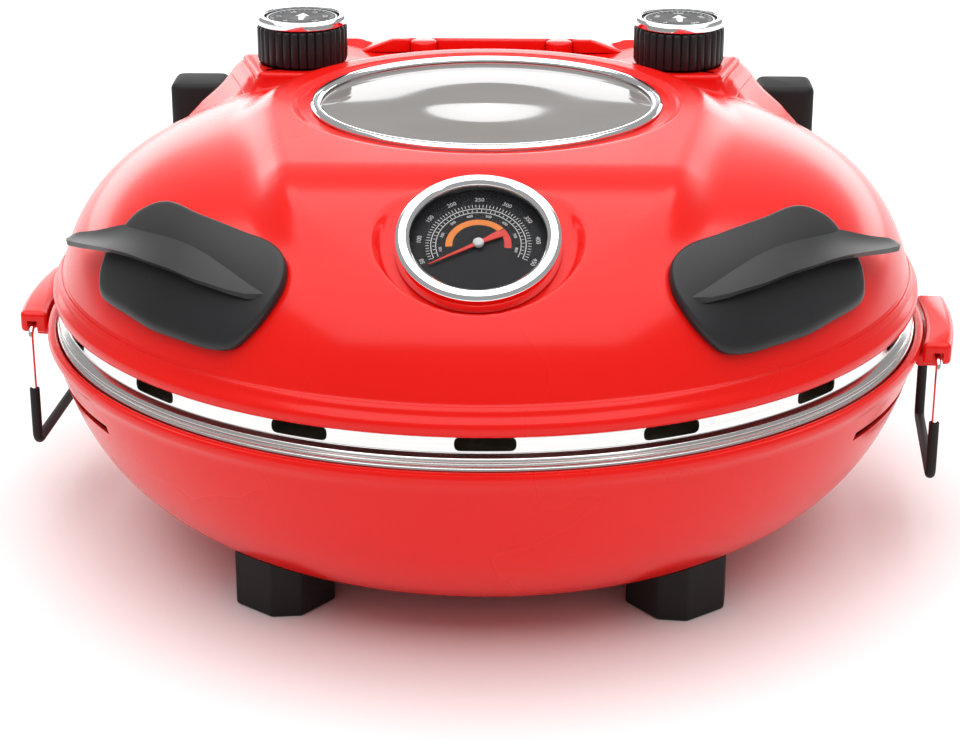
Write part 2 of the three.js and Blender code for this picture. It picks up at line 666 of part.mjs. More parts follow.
// Handle in its own frame: X across, -Y away from the oven's axis. A thin plate lies on the dome
// and a leaf-shaped fin stands out from it, with room for the fingers below.
function handle() {
  const outline = roundedRectangle(-40, 50.3, -165.5, -131.3, 9, 3);
  const pad = cut(overlap(plate(outline, 100, 170), overHandle), underHandle);
  const leaf = [[-58, -154], [-59.5, -156], [-57, -158.5], [-45, -160.5], [-30, -162], [0, -163],
    [24, -160.5], [39, -155.5], [47, -149], [49, -145.5], [40, -143.5], [22, -141.5], [0, -140.5],
    [-18, -141.5], [-38, -146]];
  const tilt = THREE.MathUtils.degToRad(16);
  const fin = plate(leaf.map(([x, y]) => [x, y + 142]), -4, 0)
    .rotateX(tilt)
    .translate(0, -142, 145);
  return join(pad, cut(fin, underHandle));
}
const neckUnderHandle = domeVolume(-2 * GAP, 100);
for (const [side, label] of [[-1, 'left'], [1, 'right']]) {
  const grip = side > 0 ? mirrored(handle()) : handle();
  grip.rotateZ(side * HANDLE_AZIMUTH);
  add(lid, `rear_bumper_${label}`, side < 0 ? mirrored(bumper()) : bumper(), blackRubber);
  add(lid, `cover_cap_${label}`, disc(5.7, HOUSING_TOP + GAP, 162.4, 16)
    .translate(side * 29.5, 123, 0), redEnamel);
  add(lid, `handle_${label}`, cut(grip, neckUnderHandle), blackPlastic);
}

export default oven;
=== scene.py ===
from contextlib import contextmanager
import json
import math

import bmesh
import bpy
import numpy as np
from mathutils import Matrix, Vector

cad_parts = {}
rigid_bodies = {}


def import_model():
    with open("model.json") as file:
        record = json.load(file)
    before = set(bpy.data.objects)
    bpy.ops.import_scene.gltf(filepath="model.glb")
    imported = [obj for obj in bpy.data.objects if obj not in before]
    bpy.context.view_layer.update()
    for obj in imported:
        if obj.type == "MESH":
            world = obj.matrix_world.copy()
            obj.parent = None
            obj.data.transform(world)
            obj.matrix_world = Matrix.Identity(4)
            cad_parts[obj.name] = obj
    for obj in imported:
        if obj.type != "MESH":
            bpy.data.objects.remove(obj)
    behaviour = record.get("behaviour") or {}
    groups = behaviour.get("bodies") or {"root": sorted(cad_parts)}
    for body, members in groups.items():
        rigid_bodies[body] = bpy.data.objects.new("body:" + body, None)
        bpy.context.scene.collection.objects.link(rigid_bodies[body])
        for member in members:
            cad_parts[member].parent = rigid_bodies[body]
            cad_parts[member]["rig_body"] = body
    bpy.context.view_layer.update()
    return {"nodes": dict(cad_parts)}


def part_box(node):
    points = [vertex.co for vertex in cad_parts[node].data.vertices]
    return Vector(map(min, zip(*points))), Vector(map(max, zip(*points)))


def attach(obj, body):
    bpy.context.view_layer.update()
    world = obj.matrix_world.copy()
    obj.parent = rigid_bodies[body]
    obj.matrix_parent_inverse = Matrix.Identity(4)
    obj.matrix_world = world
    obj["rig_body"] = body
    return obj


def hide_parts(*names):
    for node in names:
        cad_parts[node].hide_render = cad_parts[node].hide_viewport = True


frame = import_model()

# ------------------------------------------------------------------ the oven's own frame
# Shapes are drawn in millimetres about the oven's axis, +Y to the back, and placed in metres.
MM = 0.001
stone_low, stone_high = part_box("baking_stone")
AXIS = (stone_low + stone_high) / 2
AXIS = Vector((AXIS.x, AXIS.y, 0))


def span(node, axis):
    """Lowest and highest value of a node along an axis, in millimetres from the oven's axis."""
    low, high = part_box(node)
    return (low[axis] - AXIS[axis]) / MM, (high[axis] - AXIS[axis]) / MM


def middle(node, axis):
    return sum(span(node, axis)) / 2


def radius_of(node):
    low, high = span(node, 0)
    return (high - low) / 2


LID_Z = span("lid_shell", 2)[0]
RIM_Z = span("base_shell", 2)[1]
BOWL_FLOOR = span("base_shell", 2)[0]
WINDOW_Y = middle("window_bezel", 1)
BEZEL_R = radius_of("window_bezel")
BEZEL_Z = span("window_bezel", 2)[1]
HOLE_R = BEZEL_R - 2.4
PLATEAU_Z = BEZEL_Z - 0.8
PLATEAU_R = BEZEL_R + 16.4
SKIRT_R = PLATEAU_R + 12
NECK_Y, NECK_R = WINDOW_Y - 90, 71
GAUGE_TILT = math.radians(31)
GAUGE_Y, GAUGE_Z = -119.5, LID_Z + 50.1
GAUGE_R = radius_of("gauge_bezel")
KNOB_X, KNOB_Y = middle("heat_knob", 0), middle("heat_knob", 1)
KNOB_Z, CAP_Z = span("heat_knob", 2)
KNOB_R = radius_of("heat_knob")
HOUSING_TOP = span("rear_cover", 2)[0] - 0.35
HOUSING_BACK = span("rear_bumper_left", 1)[1] + 2
HOUSING_SLOPE_Y = HOUSING_BACK - 18
HOUSING_FRONT, HOUSING_BEND = 74, 112
HOUSING_NARROW, HOUSING_WIDE = 97, 108
HOUSING_FLOOR = 118
BAIL_Z = span("bail_wire_right", 2)[1] - 1.1
SIDES = ((-1, "left"), (1, "right"))


# ------------------------------------------------------------------ material helpers
def new_material(name):
    material = bpy.data.materials.new(name)
    material.use_nodes = True
    tree = material.node_tree
    shader = tree.nodes["Principled BSDF"]
    return material, tree, shader


def set_values(shader, **values):
    for key, value in values.items():
        shader.inputs[key.replace("_", " ")].default_value = value


def object_noise(tree, scale, detail=3.0, stretch=(1, 1, 1), rough=0.5):
    """A noise in object space; stretch sets its scale along each axis."""
    coords = tree.nodes.new("ShaderNodeTexCoord")
    mapping = tree.nodes.new("ShaderNodeMapping")
    mapping.inputs["Scale"].default_value = stretch
    noise = tree.nodes.new("ShaderNodeTexNoise")
    noise.inputs["Scale"].default_value = scale
    noise.inputs["Detail"].default_value = detail
    noise.inputs["Roughness"].default_value = rough
    tree.links.new(coords.outputs["Object"], mapping.inputs["Vector"])
    tree.links.new(mapping.outputs["Vector"], noise.inputs["Vector"])
    return noise.outputs["Fac"]


def ramp(tree, factor, *stops):
    node = tree.nodes.new("ShaderNodeValToRGB")
    elements = node.color_ramp.elements
    for element, (place, color) in zip(elements, (stops[0], stops[-1])):
        element.position, element.color = place, (*color, 1)
    for place, color in stops[1:-1]:
        element = elements.new(place)
        element.color = (*color, 1)
    tree.links.new(factor, node.inputs["Fac"])
    return node.outputs["Color"]


def mapped(tree, factor, low, high, start=0.3, end=0.7):
    node = tree.nodes.new("ShaderNodeMapRange")
    node.inputs["From Min"].default_value = start
    node.inputs["From Max"].default_value = end
    node.inputs["To Min"].default_value = low
    node.inputs["To Max"].default_value = high
    tree.links.new(factor, node.inputs["Value"])
    return node.outputs["Result"]


def add_bump(tree, shader, height, strength, distance):
    bump = tree.nodes.new("ShaderNodeBump")
    bump.inputs["Strength"].default_value = strength
    bump.inputs["Distance"].default_value = distance
    tree.links.new(height, bump.inputs["Height"])
    tree.links.new(bump.outputs["Normal"], shader.inputs["Normal"])


def textured(name, dark, light, rough, scale, bump=0.0, bump_scale=None, depth=0.0002,
             stretch=(1, 1, 1), slot=None, **values):
    """A finish: a material whose colour and roughness wander between two values, with a fine
    bump, and the slot it stands for, which has its name unless another is given."""
    material, tree, shader = new_material(name)
    set_values(shader, **values)
    noise = object_noise(tree, scale, stretch=stretch)
    tree.links.new(ramp(tree, noise, (0.15, dark), (0.85, light)), shader.inputs["Base Color"])
    tree.links.new(mapped(tree, noise, *rough, 0.15, 0.85), shader.inputs["Roughness"])
    if bump:
        fine = object_noise(tree, bump_scale or scale, detail=2.0, stretch=stretch)
        add_bump(tree, shader, fine, bump, depth)
    return material, slot or name


def in_slot(finish, slot):
    """The same material standing for another slot."""
    return finish[0], slot


ENAMEL = textured("red_enamel", (0.74, 0.0055, 0.003), (0.80, 0.0075, 0.004), (0.24, 0.30), 9.0,
                  bump=0.10, bump_scale=260.0, depth=0.00003,
                  Coat_Weight=0.32, Coat_Roughness=0.15, Specular_IOR_Level=0.14)
STAINLESS = textured("stainless", (0.70, 0.70, 0.69), (0.83, 0.83, 0.82), (0.10, 0.24), 40.0,
                     bump=0.15, bump_scale=60.0, depth=0.00003, stretch=(0.4, 0.4, 22),
                     Metallic=1.0, Anisotropic=0.35)
CHROME = textured("chrome", (0.88, 0.89, 0.90), (0.94, 0.95, 0.96), (0.04, 0.09), 30.0,
                  Metallic=1.0)
SHEET_STEEL = textured("sheet_steel", (0.46, 0.46, 0.45), (0.66, 0.66, 0.64), (0.30, 0.46), 55.0,
                       bump=0.2, bump_scale=140.0, depth=0.00005, Metallic=0.95)
BLACK_PLASTIC = textured("black_plastic", (0.010, 0.010, 0.011), (0.018, 0.018, 0.020),
                         (0.34, 0.46), 30.0, bump=0.35, bump_scale=1500.0, depth=0.00004,
                         Specular_IOR_Level=0.35)
BLACK_RUBBER = textured("black_rubber", (0.006, 0.006, 0.006), (0.013, 0.013, 0.013),
                        (0.55, 0.70), 40.0, bump=0.4, bump_scale=900.0, depth=0.00006,
                        Specular_IOR_Level=0.3)
STONEWARE = textured("stoneware", (0.50, 0.41, 0.29), (0.74, 0.65, 0.50), (0.82, 0.95), 160.0,
                     bump=0.6, bump_scale=420.0, depth=0.00025)
MINERAL_WOOL = textured("mineral_wool", (0.42, 0.39, 0.30), (0.70, 0.67, 0.56), (0.9, 1.0), 500.0,
                        bump=1.0, bump_scale=700.0, depth=0.0006, stretch=(1, 1, 4))
CERAMIC = textured("ceramic", (0.76, 0.74, 0.68), (0.88, 0.86, 0.80), (0.45, 0.60), 90.0,
                   bump=0.2, bump_scale=500.0)
ROD_STEEL = textured("rod_steel", (0.16, 0.15, 0.14), (0.34, 0.33, 0.31), (0.35, 0.55), 70.0,
                     bump=0.3, bump_scale=600.0, depth=0.00005, slot="sheet_steel", Metallic=0.9)
SILICONE = textured("silicone", (0.11, 0.11, 0.105), (0.17, 0.17, 0.165), (0.55, 0.7), 60.0,
                    bump=0.2, bump_scale=600.0, slot="silicone_grey")
DIAL_BLACK = textured("dial_black", (0.008, 0.008, 0.010), (0.016, 0.016, 0.019), (0.30, 0.42),
                      300.0, bump=0.2, bump_scale=1800.0, depth=0.00003,
                      Specular_IOR_Level=0.15)
PRINT_WHITE = textured("print_white", (0.66, 0.66, 0.66), (0.80, 0.80, 0.80),
                       (0.4, 0.5), 400.0, slot="dial_black")
PRINT_ORANGE = textured("print_orange", (0.85, 0.20, 0.01), (0.95, 0.28, 0.02),
                        (0.4, 0.5), 400.0, slot="dial_black")
PRINT_RED = textured("print_red", (0.70, 0.02, 0.01), (0.85, 0.04, 0.02),
                     (0.35, 0.45), 400.0, slot="dial_black")


def glass_material(name, glass_colour, alpha, level):
    material, tree, shader = new_material(name)
    set_values(shader, Alpha=alpha, Specular_IOR_Level=level, IOR=1.45)
    patches = object_noise(tree, 18.0, detail=4.0)
    faint = tuple(0.9 * c for c in glass_colour)
    # On the window pane this grey is painted shade and painted reflection, nearly opaque at the
    # pane's alpha, standing in for the dim inside of the oven; random patches shift it a little,
    # and the roughness with it.
    tree.links.new(ramp(tree, patches, (0.3, faint), (0.7, glass_colour)), shader.inputs["Base Color"])
    tree.links.new(mapped(tree, patches, 0.02, 0.07), shader.inputs["Roughness"])
    return material, "glass"


# The window pane is a nearly opaque grey sheet: painted shade and painted reflection in place of
# the dark inside and the light reflected in the glass.
PANE = glass_material("window_glass", (0.27, 0.255, 0.245), 0.88, 0.5)
CRYSTAL = glass_material("gauge_crystal", (0.02, 0.02, 0.02), 0.10, 0.12)


# ------------------------------------------------------------------ mesh helpers
def linked(name, data):
    """A new object in the scene."""
    obj = bpy.data.objects.new(name, data)
    bpy.context.scene.collection.objects.link(obj)
    return obj


@contextmanager
def editing(mesh):
    """The mesh as a bmesh, written back at the end."""
    bm = bmesh.new()
    bm.from_mesh(mesh)
    yield bm
    bm.to_mesh(mesh)
    bm.free()


def placed_mesh(name, verts, faces):
    """A mesh from points in the oven's frame."""
    mesh = bpy.data.meshes.new(name)
    mesh.from_pydata([Vector(v) * MM + AXIS for v in verts], [], faces)
    return mesh


def piece(name, verts, faces, finish, body, nodes=(), smooth=True):
    """Makes a mesh from points in the oven's frame and rides it on a body."""
    material, slot = finish
    mesh = placed_mesh(name, verts, faces)
    mesh.validate()
    obj = linked(name, mesh)
    mesh.materials.append(material)
    tidy_normals(mesh)
    if smooth:
        mesh.shade_smooth()
    finish_piece(obj, body, nodes)
    return obj


def tidy_normals(mesh):
    with editing(mesh) as bm:
        bmesh.ops.remove_doubles(bm, verts=bm.verts, dist=1e-6)
        bmesh.ops.recalc_face_normals(bm, faces=bm.faces)


def finish_piece(obj, body, nodes=()):
    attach(obj, body)
    if nodes:
        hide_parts(*nodes)


def evaluated(obj):
    """A new mesh of the object as its modifiers or its curve make it."""
    graph = bpy.context.evaluated_depsgraph_get()
    return bpy.data.meshes.new_from_object(obj.evaluated_get(graph))


def apply_modifiers(obj):
    """Bakes an object's modifiers into its mesh."""
    mesh = evaluated(obj)
    obj.modifiers.clear()
    obj.data = mesh


def sharpen(obj, degrees=35):
    """Smooth shading except over edges sharper than the angle."""
    limit = math.radians(degrees)
    with editing(obj.data) as bm:
        for edge in bm.edges:
            edge.smooth = len(edge.link_faces) == 2 and edge.calc_face_angle(0) < limit
        for face in bm.faces:
            face.smooth = True


def rounded(outline, radius, steps=4):
    """Replaces the corners of a closed outline by arcs. A corner may carry its own radius."""
    result = []
    count = len(outline)
    for i, corner in enumerate(outline):
        here = np.array(corner[:2], float)
        size = corner[2] if len(corner) > 2 else radius
        before = np.array(outline[i - 1][:2], float) - here
        after = np.array(outline[(i + 1) % count][:2], float) - here
        room = min(np.linalg.norm(before), np.linalg.norm(after)) * 0.49
        before = before / np.linalg.norm(before)
        after = after / np.linalg.norm(after)
        half = math.acos(np.clip(before @ after, -1, 1)) / 2
        reach = min(size / max(math.tan(half), 1e-6), room)
        if size <= 0 or half > 1.55:
            result.append(tuple(here))
            continue
        start, end = here + before * reach, here + after * reach
        for k in range(steps + 1):
            t = k / steps
            point = (1 - t) ** 2 * start + 2 * t * (1 - t) * here + t * t * end
            result.append(tuple(point))
    return result


def revolved(profile, sides, centre=(0, 0), is_open=False):
    """Points and faces of a profile of (radius, height) turned about a vertical axis."""
    verts, faces = [], []
    count = len(profile)
    for i in range(sides):
        angle = 2 * math.pi * i / sides
        for r, z in profile:
            r = max(r, 1e-4)
            verts.append(Vector((centre[0] + r * math.cos(angle),
                                 centre[1] + r * math.sin(angle), z)))
    for i in range(sides):
        j = (i + 1) % sides
        for k in range(count - 1 if is_open else count):
            m = (k + 1) % count
            faces.append((i * count + k, j * count + k, j * count + m, i * count + m))
    return verts, faces


def turned(name, outline, finish, body, nodes=(), radius=0.4, sides=192,
           centre=(0, 0), is_open=False, place=None):
    """Turns a closed outline of (radius, height) about a vertical axis, with eased corners."""
    profile = outline if is_open else rounded(outline, radius)
    verts, faces = revolved(profile, sides, centre, is_open)
    if place:
        verts = [place @ v for v in verts]
    obj = piece(name, verts, faces, finish, body, nodes)
    drop_slivers(obj)
    sharpen(obj)
    return obj


def drop_slivers(obj):
    with editing(obj.data) as bm:
        bmesh.ops.remove_doubles(bm, verts=bm.verts, dist=2e-6)
        bmesh.ops.dissolve_degenerate(bm, edges=bm.edges, dist=1e-7)
        bmesh.ops.recalc_face_normals(bm, faces=bm.faces)


def disc_outline(radius, low, high):
    return [(0.01, low), (radius, low), (radius, high), (0.01, high)]


def prism_points(outline, low, high):
    """Points and faces of a closed outline pulled between two heights."""
    count = len(outline)
    verts = [Vector((x, y, z)) for z in (low, high) for x, y in outline]
    faces = [tuple(range(count))[::-1], tuple(range(count, 2 * count))]
    faces += [(i, (i + 1) % count, count + (i + 1) % count, count + i) for i in range(count)]
    return verts, faces


def slab(name, outline, low, high, finish, body, nodes=(), bevel=0.8, place=None,
         segments=3):
    """An outline in X and Y pulled between two heights, with rounded edges."""
    verts, faces = prism_points(outline, low, high)
    if place:
        verts = [place @ v for v in verts]
    obj = piece(name, verts, faces, finish, body, nodes)
    ease(obj, bevel, segments)
    sharpen(obj)
    return obj


def ease(obj, width, segments=3, angle=40):
    """Rounds an object's sharp edges by a width in millimetres."""
    modifier = obj.modifiers.new("ease", "BEVEL")
    modifier.width = width * MM
    modifier.segments = segments
    modifier.limit_method = "ANGLE"
    modifier.angle_limit = math.radians(angle)
    modifier.use_clamp_overlap = True
    apply_modifiers(obj)


def cut_with(obj, cutter):
    """Subtracts a cutter, then deletes it."""
    modifier = obj.modifiers.new("cut", "BOOLEAN")
    modifier.operation = "DIFFERENCE"
    modifier.solver = "EXACT"
    modifier.object = cutter
    apply_modifiers(obj)
    bpy.data.objects.remove(cutter, do_unlink=True)


def scratch(verts, faces):
    """A mesh used only to cut others."""
    mesh = placed_mesh("scratch", verts, faces)
    tidy_normals(mesh)
    return linked("scratch", mesh)


def cut_prism(obj, outline, low, high, place=None):
    """Subtracts an outline pulled between two heights."""
    verts, faces = prism_points(outline, low, high)
    cut_with(obj, scratch([place @ v for v in verts] if place else verts, faces))


def rod(name, points, radius, finish, body, nodes=(), bore=0.0):
    """A round rod through points, or a tube with a bore, its frame carried without twist."""
    points = [Vector(p) for p in points]
    tangents = []
    for i, point in enumerate(points):
        before, after = points[max(i - 1, 0)], points[min(i + 1, len(points) - 1)]
        tangents.append((after - before).normalized())
    side = tangents[0].orthogonal().normalized()
    sides = 20
    verts, faces = [], []
    radii = [radius] if not bore else [radius, bore]
    for point, tangent in zip(points, tangents):
        side = (side - tangent * side.dot(tangent)).normalized()
        other = tangent.cross(side)
        for r in radii:
            for k in range(sides):
                a = 2 * math.pi * k / sides
                verts.append(point + side * (r * math.cos(a)) + other * (r * math.sin(a)))
    ring = sides * len(radii)
    for i in range(len(points) - 1):
        for j in range(len(radii)):
            for k in range(sides):
                a, b = j * sides + k, j * sides + (k + 1) % sides
                faces.append((i * ring + a, i * ring + b, (i + 1) * ring + b, (i + 1) * ring + a))
    for end in (0, (len(points) - 1) * ring):
        if bore:
            for k in range(sides):
                n = (k + 1) % sides
                faces.append((end + k, end + n, end + sides + n, end + sides + k))
        else:
            faces.append(tuple(range(end, end + sides)))
    obj = piece(name, verts, faces, finish, body, nodes)
    sharpen(obj, 50)
    return obj


def bend_corners(points, radius, steps=8):
    """A polyline's inner corners replaced by arcs."""
    points = [np.array(p, float) for p in points]
    result = [points[0]]
    for before, here, after in zip(points, points[1:], points[2:]):
        u = (before - here) / np.linalg.norm(before - here)
        v = (after - here) / np.linalg.norm(after - here)
        reach = min(radius, np.linalg.norm(before - here) / 2, np.linalg.norm(after - here) / 2)
        for k in range(steps + 1):
            t = k / steps
            result.append((1 - t) ** 2 * (here + u * reach) + 2 * t * (1 - t) * here
                          + t * t * (here + v * reach))
    result.append(points[-1])
    return result


def smoothstep(x, low, high):
    t = np.clip((np.asarray(x, float) - low) / (high - low), 0, 1)
    return t * t * t * (t * (6 * t - 15) + 10)


def soft_min(a, b, k):
    """The smaller of two heights, blended where they are within k of each other."""
    h = np.clip(0.5 + 0.5 * (b - a) / k, 0, 1)
    return b + (a - b) * h - k * h * (1 - h)


def soft_max(a, b, k):
    return -soft_min(-np.asarray(a), -np.asarray(b), k)


# ------------------------------------------------------------------ the lid's surface
DOME_POINTS = np.array([
    (166, 107), (162.4, 117), (156.6, 128), (149.6, 136.5), (140.5, 143.5), (128, 149.5),
    (114, 154), (98, 157), (80, 159), (40, 161), (0, 162)], float)


def smooth_profile(points, degree, samples=1500):
    """A polynomial in arc length through the points, so that its curvature has no ripple."""
    points = np.array(points, float)
    length = np.concatenate([[0], np.cumsum(np.hypot(*np.diff(points, axis=0).T))])
    length /= length[-1]
    fits = [np.polynomial.Polynomial.fit(length, points[:, k], degree) for k in (0, 1)]
    t = np.linspace(0, 1, samples)
    return np.column_stack([fit(t) for fit in fits])


DOME_CURVE = smooth_profile(DOME_POINTS, 6)


def dome_grown(distance):
    """The bare dome's curve, grown outwards by a distance."""
    step = np.gradient(DOME_CURVE, axis=0)
    normal = np.column_stack([step[:, 1], -step[:, 0]])
    normal /= np.linalg.norm(normal, axis=1)[:, None]
    return DOME_CURVE + normal * distance


def dome_height(radius):
    return np.interp(radius, DOME_CURVE[::-1, 0], DOME_CURVE[::-1, 1])


def above_dome(radius, reference, distance):
    """Moves spots given by their radius on the dome grown by a reference distance along the
    dome's normal, to another distance from it."""
    place = np.interp(radius, dome_grown(reference)[::-1, 0], np.arange(len(DOME_CURVE))[::-1])
    index = np.arange(len(DOME_CURVE))
    grown = dome_grown(distance)
    return np.interp(place, index, grown[:, 0]), np.interp(place, index, grown[:, 1])


def keyhole(x, y):
    """Distance outside the plateau and the neck that runs forward from it."""
    length = WINDOW_Y - NECK_Y
    taper = (PLATEAU_R - NECK_R) / length
    square = math.sqrt(1 - taper * taper)
    along, across = WINDOW_Y - y, np.abs(x)
    slide = along * square - across * taper
    side = across * square + along * taper - PLATEAU_R
    back = np.hypot(across, along) - PLATEAU_R
    front = np.hypot(across, along - length) - NECK_R
    return np.where(slide < 0, back, np.where(slide > length * square, front, side))


def shoulder_height(x, y):
    """Height of the slopes that run from the housing's sides down to the sides of the dome."""
    beyond = np.abs(x) - np.interp(y, [HOUSING_FRONT, HOUSING_BEND],
                                   [HOUSING_NARROW, HOUSING_WIDE])
    slope = np.interp(beyond, [-9, -3.6, -1.2, 0.6, 3, 5, 7.2, 10, 14.4, 20.8, 26, 40],
                      [120, 147, 155.2, 156.4, 154.6, 152, 149, 145.9, 142, 137, 133.5, 122])
    ahead = np.maximum(HOUSING_FRONT + 10 - y, 0)
    return slope - 0.9 * ahead ** 2 / (ahead + 12) - 0.27 * np.maximum(y - 108, 0)


def with_shoulders(height, x, y):
    """A height met by the shoulders, more gently ahead of the housing."""
    return soft_max(height, shoulder_height(x, y), 3 + 5 * smoothstep(HOUSING_FRONT - y, 0, 20))


def lid_height(x, y):
    """Height of the pressed lid over any point: dome, raised plateau and neck, dished window
    seat, and the well of the thermometer."""
    x, y = np.asarray(x, float), np.asarray(y, float)
    dome = dome_height(np.hypot(x, y))
    floor = GAUGE_Z + (y - GAUGE_Y) * math.tan(GAUGE_TILT)
    top = soft_max(soft_min(PLATEAU_Z, floor + 5.0, 18.0), dome, 3.0)
    width = SKIRT_R - PLATEAU_R
    distance = keyhole(x, y)
    fall = (soft_max(distance, 0, 2.6) - soft_max(distance - width, 0, 4.5)) / width
    height = top + (dome - top) * fall
    from_window = np.hypot(x, y - WINDOW_Y)
    height = height - 1.5 * (1 - smoothstep(from_window, BEZEL_R + 4, BEZEL_R + 8))
    from_gauge = np.hypot(x, (y - GAUGE_Y) / math.cos(GAUGE_TILT))
    sunk = soft_min(height, floor, 1.5)
    height = sunk + (height - sunk) * smoothstep(from_gauge, GAUGE_R + 3.6, GAUGE_R + 9)
    return with_shoulders(height, x, y)


FLANGE = [(166.6, 107), (167.0, 105), (167.9, 103.4), (169.2, 102.3), (169.8, 101), (170, 99.2),
          (169.6, 97.7), (168.6, 97.0)]


def lid_skin():
    """One pressed sheet from the window hole out to the rolled flange."""
    sides = 800
    inner = np.concatenate([
        np.linspace(HOLE_R, BEZEL_R + 9, 14)[:-1],
        np.linspace(BEZEL_R + 9, 150, 90)[:-1],
    ])
    outer = DOME_CURVE[DOME_CURVE[:, 0] > 150][::-1]
    outer = outer[np.linspace(0, len(outer) - 1, 22).astype(int)]
    angle = 2 * np.pi * np.arange(sides) / sides
    rows = []
    for radius in inner:
        shift = WINDOW_Y * np.clip((150 - radius) / (150 - SKIRT_R), 0, 1)
        x, y = radius * np.cos(angle), radius * np.sin(angle) + shift
        rows.append(np.column_stack([x, y, lid_height(x, y)]))
    for radius, z in outer:
        x, y = radius * np.cos(angle), radius * np.sin(angle)
        height = np.where(np.hypot(x, y - GAUGE_Y) < 45, np.minimum(lid_height(x, y), z), z)
        rows.append(np.column_stack([x, y, with_shoulders(height, x, y)]))
    crest = rows[-1][:, 2]
    for share in (0.08, 0.25, 0.5, 0.75, 0.92):
        wall = crest + (FLANGE[0][1] - crest) * share
        x, y = (166 + 0.5 * share) * np.cos(angle), (166 + 0.5 * share) * np.sin(angle)
        rows.append(np.column_stack([x, y, wall]))
    for radius, z in FLANGE[1:]:
        rows.append(np.column_stack([radius * np.cos(angle), radius * np.sin(angle),
                                     np.full(sides, z)]))
    return row_mesh(rows, cap=False)


def row_mesh(rows, cap=True):
    """Joins closed rows of equal length; the first row is capped where asked."""
    verts = np.vstack(rows)
    count = len(rows[0])
    faces = []
    for i in range(len(rows) - 1):
        for k in range(count):
            n = (k + 1) % count
            faces.append((i * count + k, i * count + n, (i + 1) * count + n, (i + 1) * count + k))
    if cap:
        faces.append(tuple(range(count)))
    return verts, faces


def densified(outline, spacing=2.0):
    """More points along a closed outline, with outward normals."""
    points, dense = np.array(outline, float), []
    for a, b in zip(points, np.roll(points, -1, axis=0)):
        count = max(1, int(np.linalg.norm(b - a) / spacing))
        dense += [a + (b - a) * k / count for k in range(count)]
    points = np.array(dense)
    along = np.roll(points, -1, axis=0) - np.roll(points, 1, axis=0)
    normal = np.column_stack([along[:, 1], -along[:, 0]])
    normal /= np.linalg.norm(normal, axis=1)[:, None]
    if ((points - points.mean(axis=0)) * normal).sum() < 0:
        normal = -normal
    return points, normal


def closed_curve(corners, per=6):
    """A smooth closed line through the corners."""
    p = np.array(corners, float)
    before, after, far = np.roll(p, 1, axis=0), np.roll(p, -1, axis=0), np.roll(p, -2, axis=0)
    line = []
    for a, b, c, d in zip(before, p, after, far):
        for k in range(per):
            t = k / per
            line.append(0.5 * (2 * b + (c - a) * t + (2 * a - 5 * b + 4 * c - d) * t * t
                               + (3 * b - a - 3 * c + d) * t ** 3))
    return line


def quarter_drop(inset, edge):
    """How far a rounded edge lies below its face, at a distance in from its side."""
    turn = np.clip((edge - inset) / edge, 0, 1)
    return edge * (1 - np.sqrt(1 - turn ** 2))


def housing_top(x, y):
    """The housing's top rounds over to the back, and falls away at its outer rear corners."""
    t = np.clip((y - HOUSING_SLOPE_Y) / (HOUSING_BACK - HOUSING_SLOPE_Y), 0, 1)
    corner = 0.27 * np.maximum(y - 108, 0) * smoothstep(np.abs(x), 84, 101)
    raised = (KNOB_Z - 0.5 - HOUSING_TOP) * smoothstep(np.abs(x), 50, 60)
    return HOUSING_TOP + raised - np.maximum(12 * (1 - np.sqrt(1 - t * t)), corner)


def housing_skin():
    """The rear control housing: flat top, rounded edges, and sides that flare out on the dome."""
    half = [(0, HOUSING_FRONT, 0), (HOUSING_NARROW, HOUSING_FRONT, 4),
            (HOUSING_WIDE, HOUSING_BEND, 16), (HOUSING_WIDE, HOUSING_BACK, 12),
            (0, HOUSING_BACK, 0)]
    right = rounded(half, 0, 8)
    outline = right + [(-x, y) for x, y in reversed(right)][1:-1]
    points, normal = densified(outline)
    beside = normal[:, 0] ** 2
    front = np.maximum(-normal[:, 1], 0) ** 2
    behind = np.maximum(normal[:, 1], 0) ** 2
    edge = 2.6 * beside + 1.5 * front + 3 * behind
    rows = []
    inner = points - normal * 6.5
    centre = inner.mean(axis=0)
    for scale in (0.5, 0.75, 0.85, 0.9, 0.94, 0.97):
        spot = centre + (inner - centre) * scale
        rows.append(np.column_stack([spot, housing_top(*spot.T)]))
    for inset in (6.5, 5, 3.8, 2.6, 1.6, 0.8, 0.3, 0):
        spot = points - normal * inset
        height = housing_top(*spot.T) - quarter_drop(inset, edge)
        rows.append(np.column_stack([spot, height]))

    def ground(spot):
        return np.maximum(lid_height(spot[:, 0], spot[:, 1]), HOUSING_FLOOR)

    wall, foot = rows[-1][:, 2], ground(points)
    reach = 6 * beside + 1.5 * front + 9 * behind
    reach = np.minimum(reach, np.maximum(171 - np.hypot(*points.T), 0))
    buried = 1.5 * smoothstep(foot - wall, -0.5, 1.0)
    for k in range(1, 15):
        a = math.pi / 2 * k / 14
        spot = points + normal * (reach * (1 - math.cos(a)))[:, None]
        height = ground(spot) + (wall - foot) * (1 - math.sin(a)) + 0.04 - buried
        rows.append(np.column_stack([spot, height]))
    last = rows[-1]
    radius = np.hypot(last[:, 0], last[:, 1])
    pull = np.minimum(1, 160.5 / radius)
    low = np.where(pull < 1, HOUSING_FLOOR, last[:, 2] - 0.8)
    rows.append(np.column_stack([last[:, :2] * pull[:, None], low]))
    return row_mesh(rows)


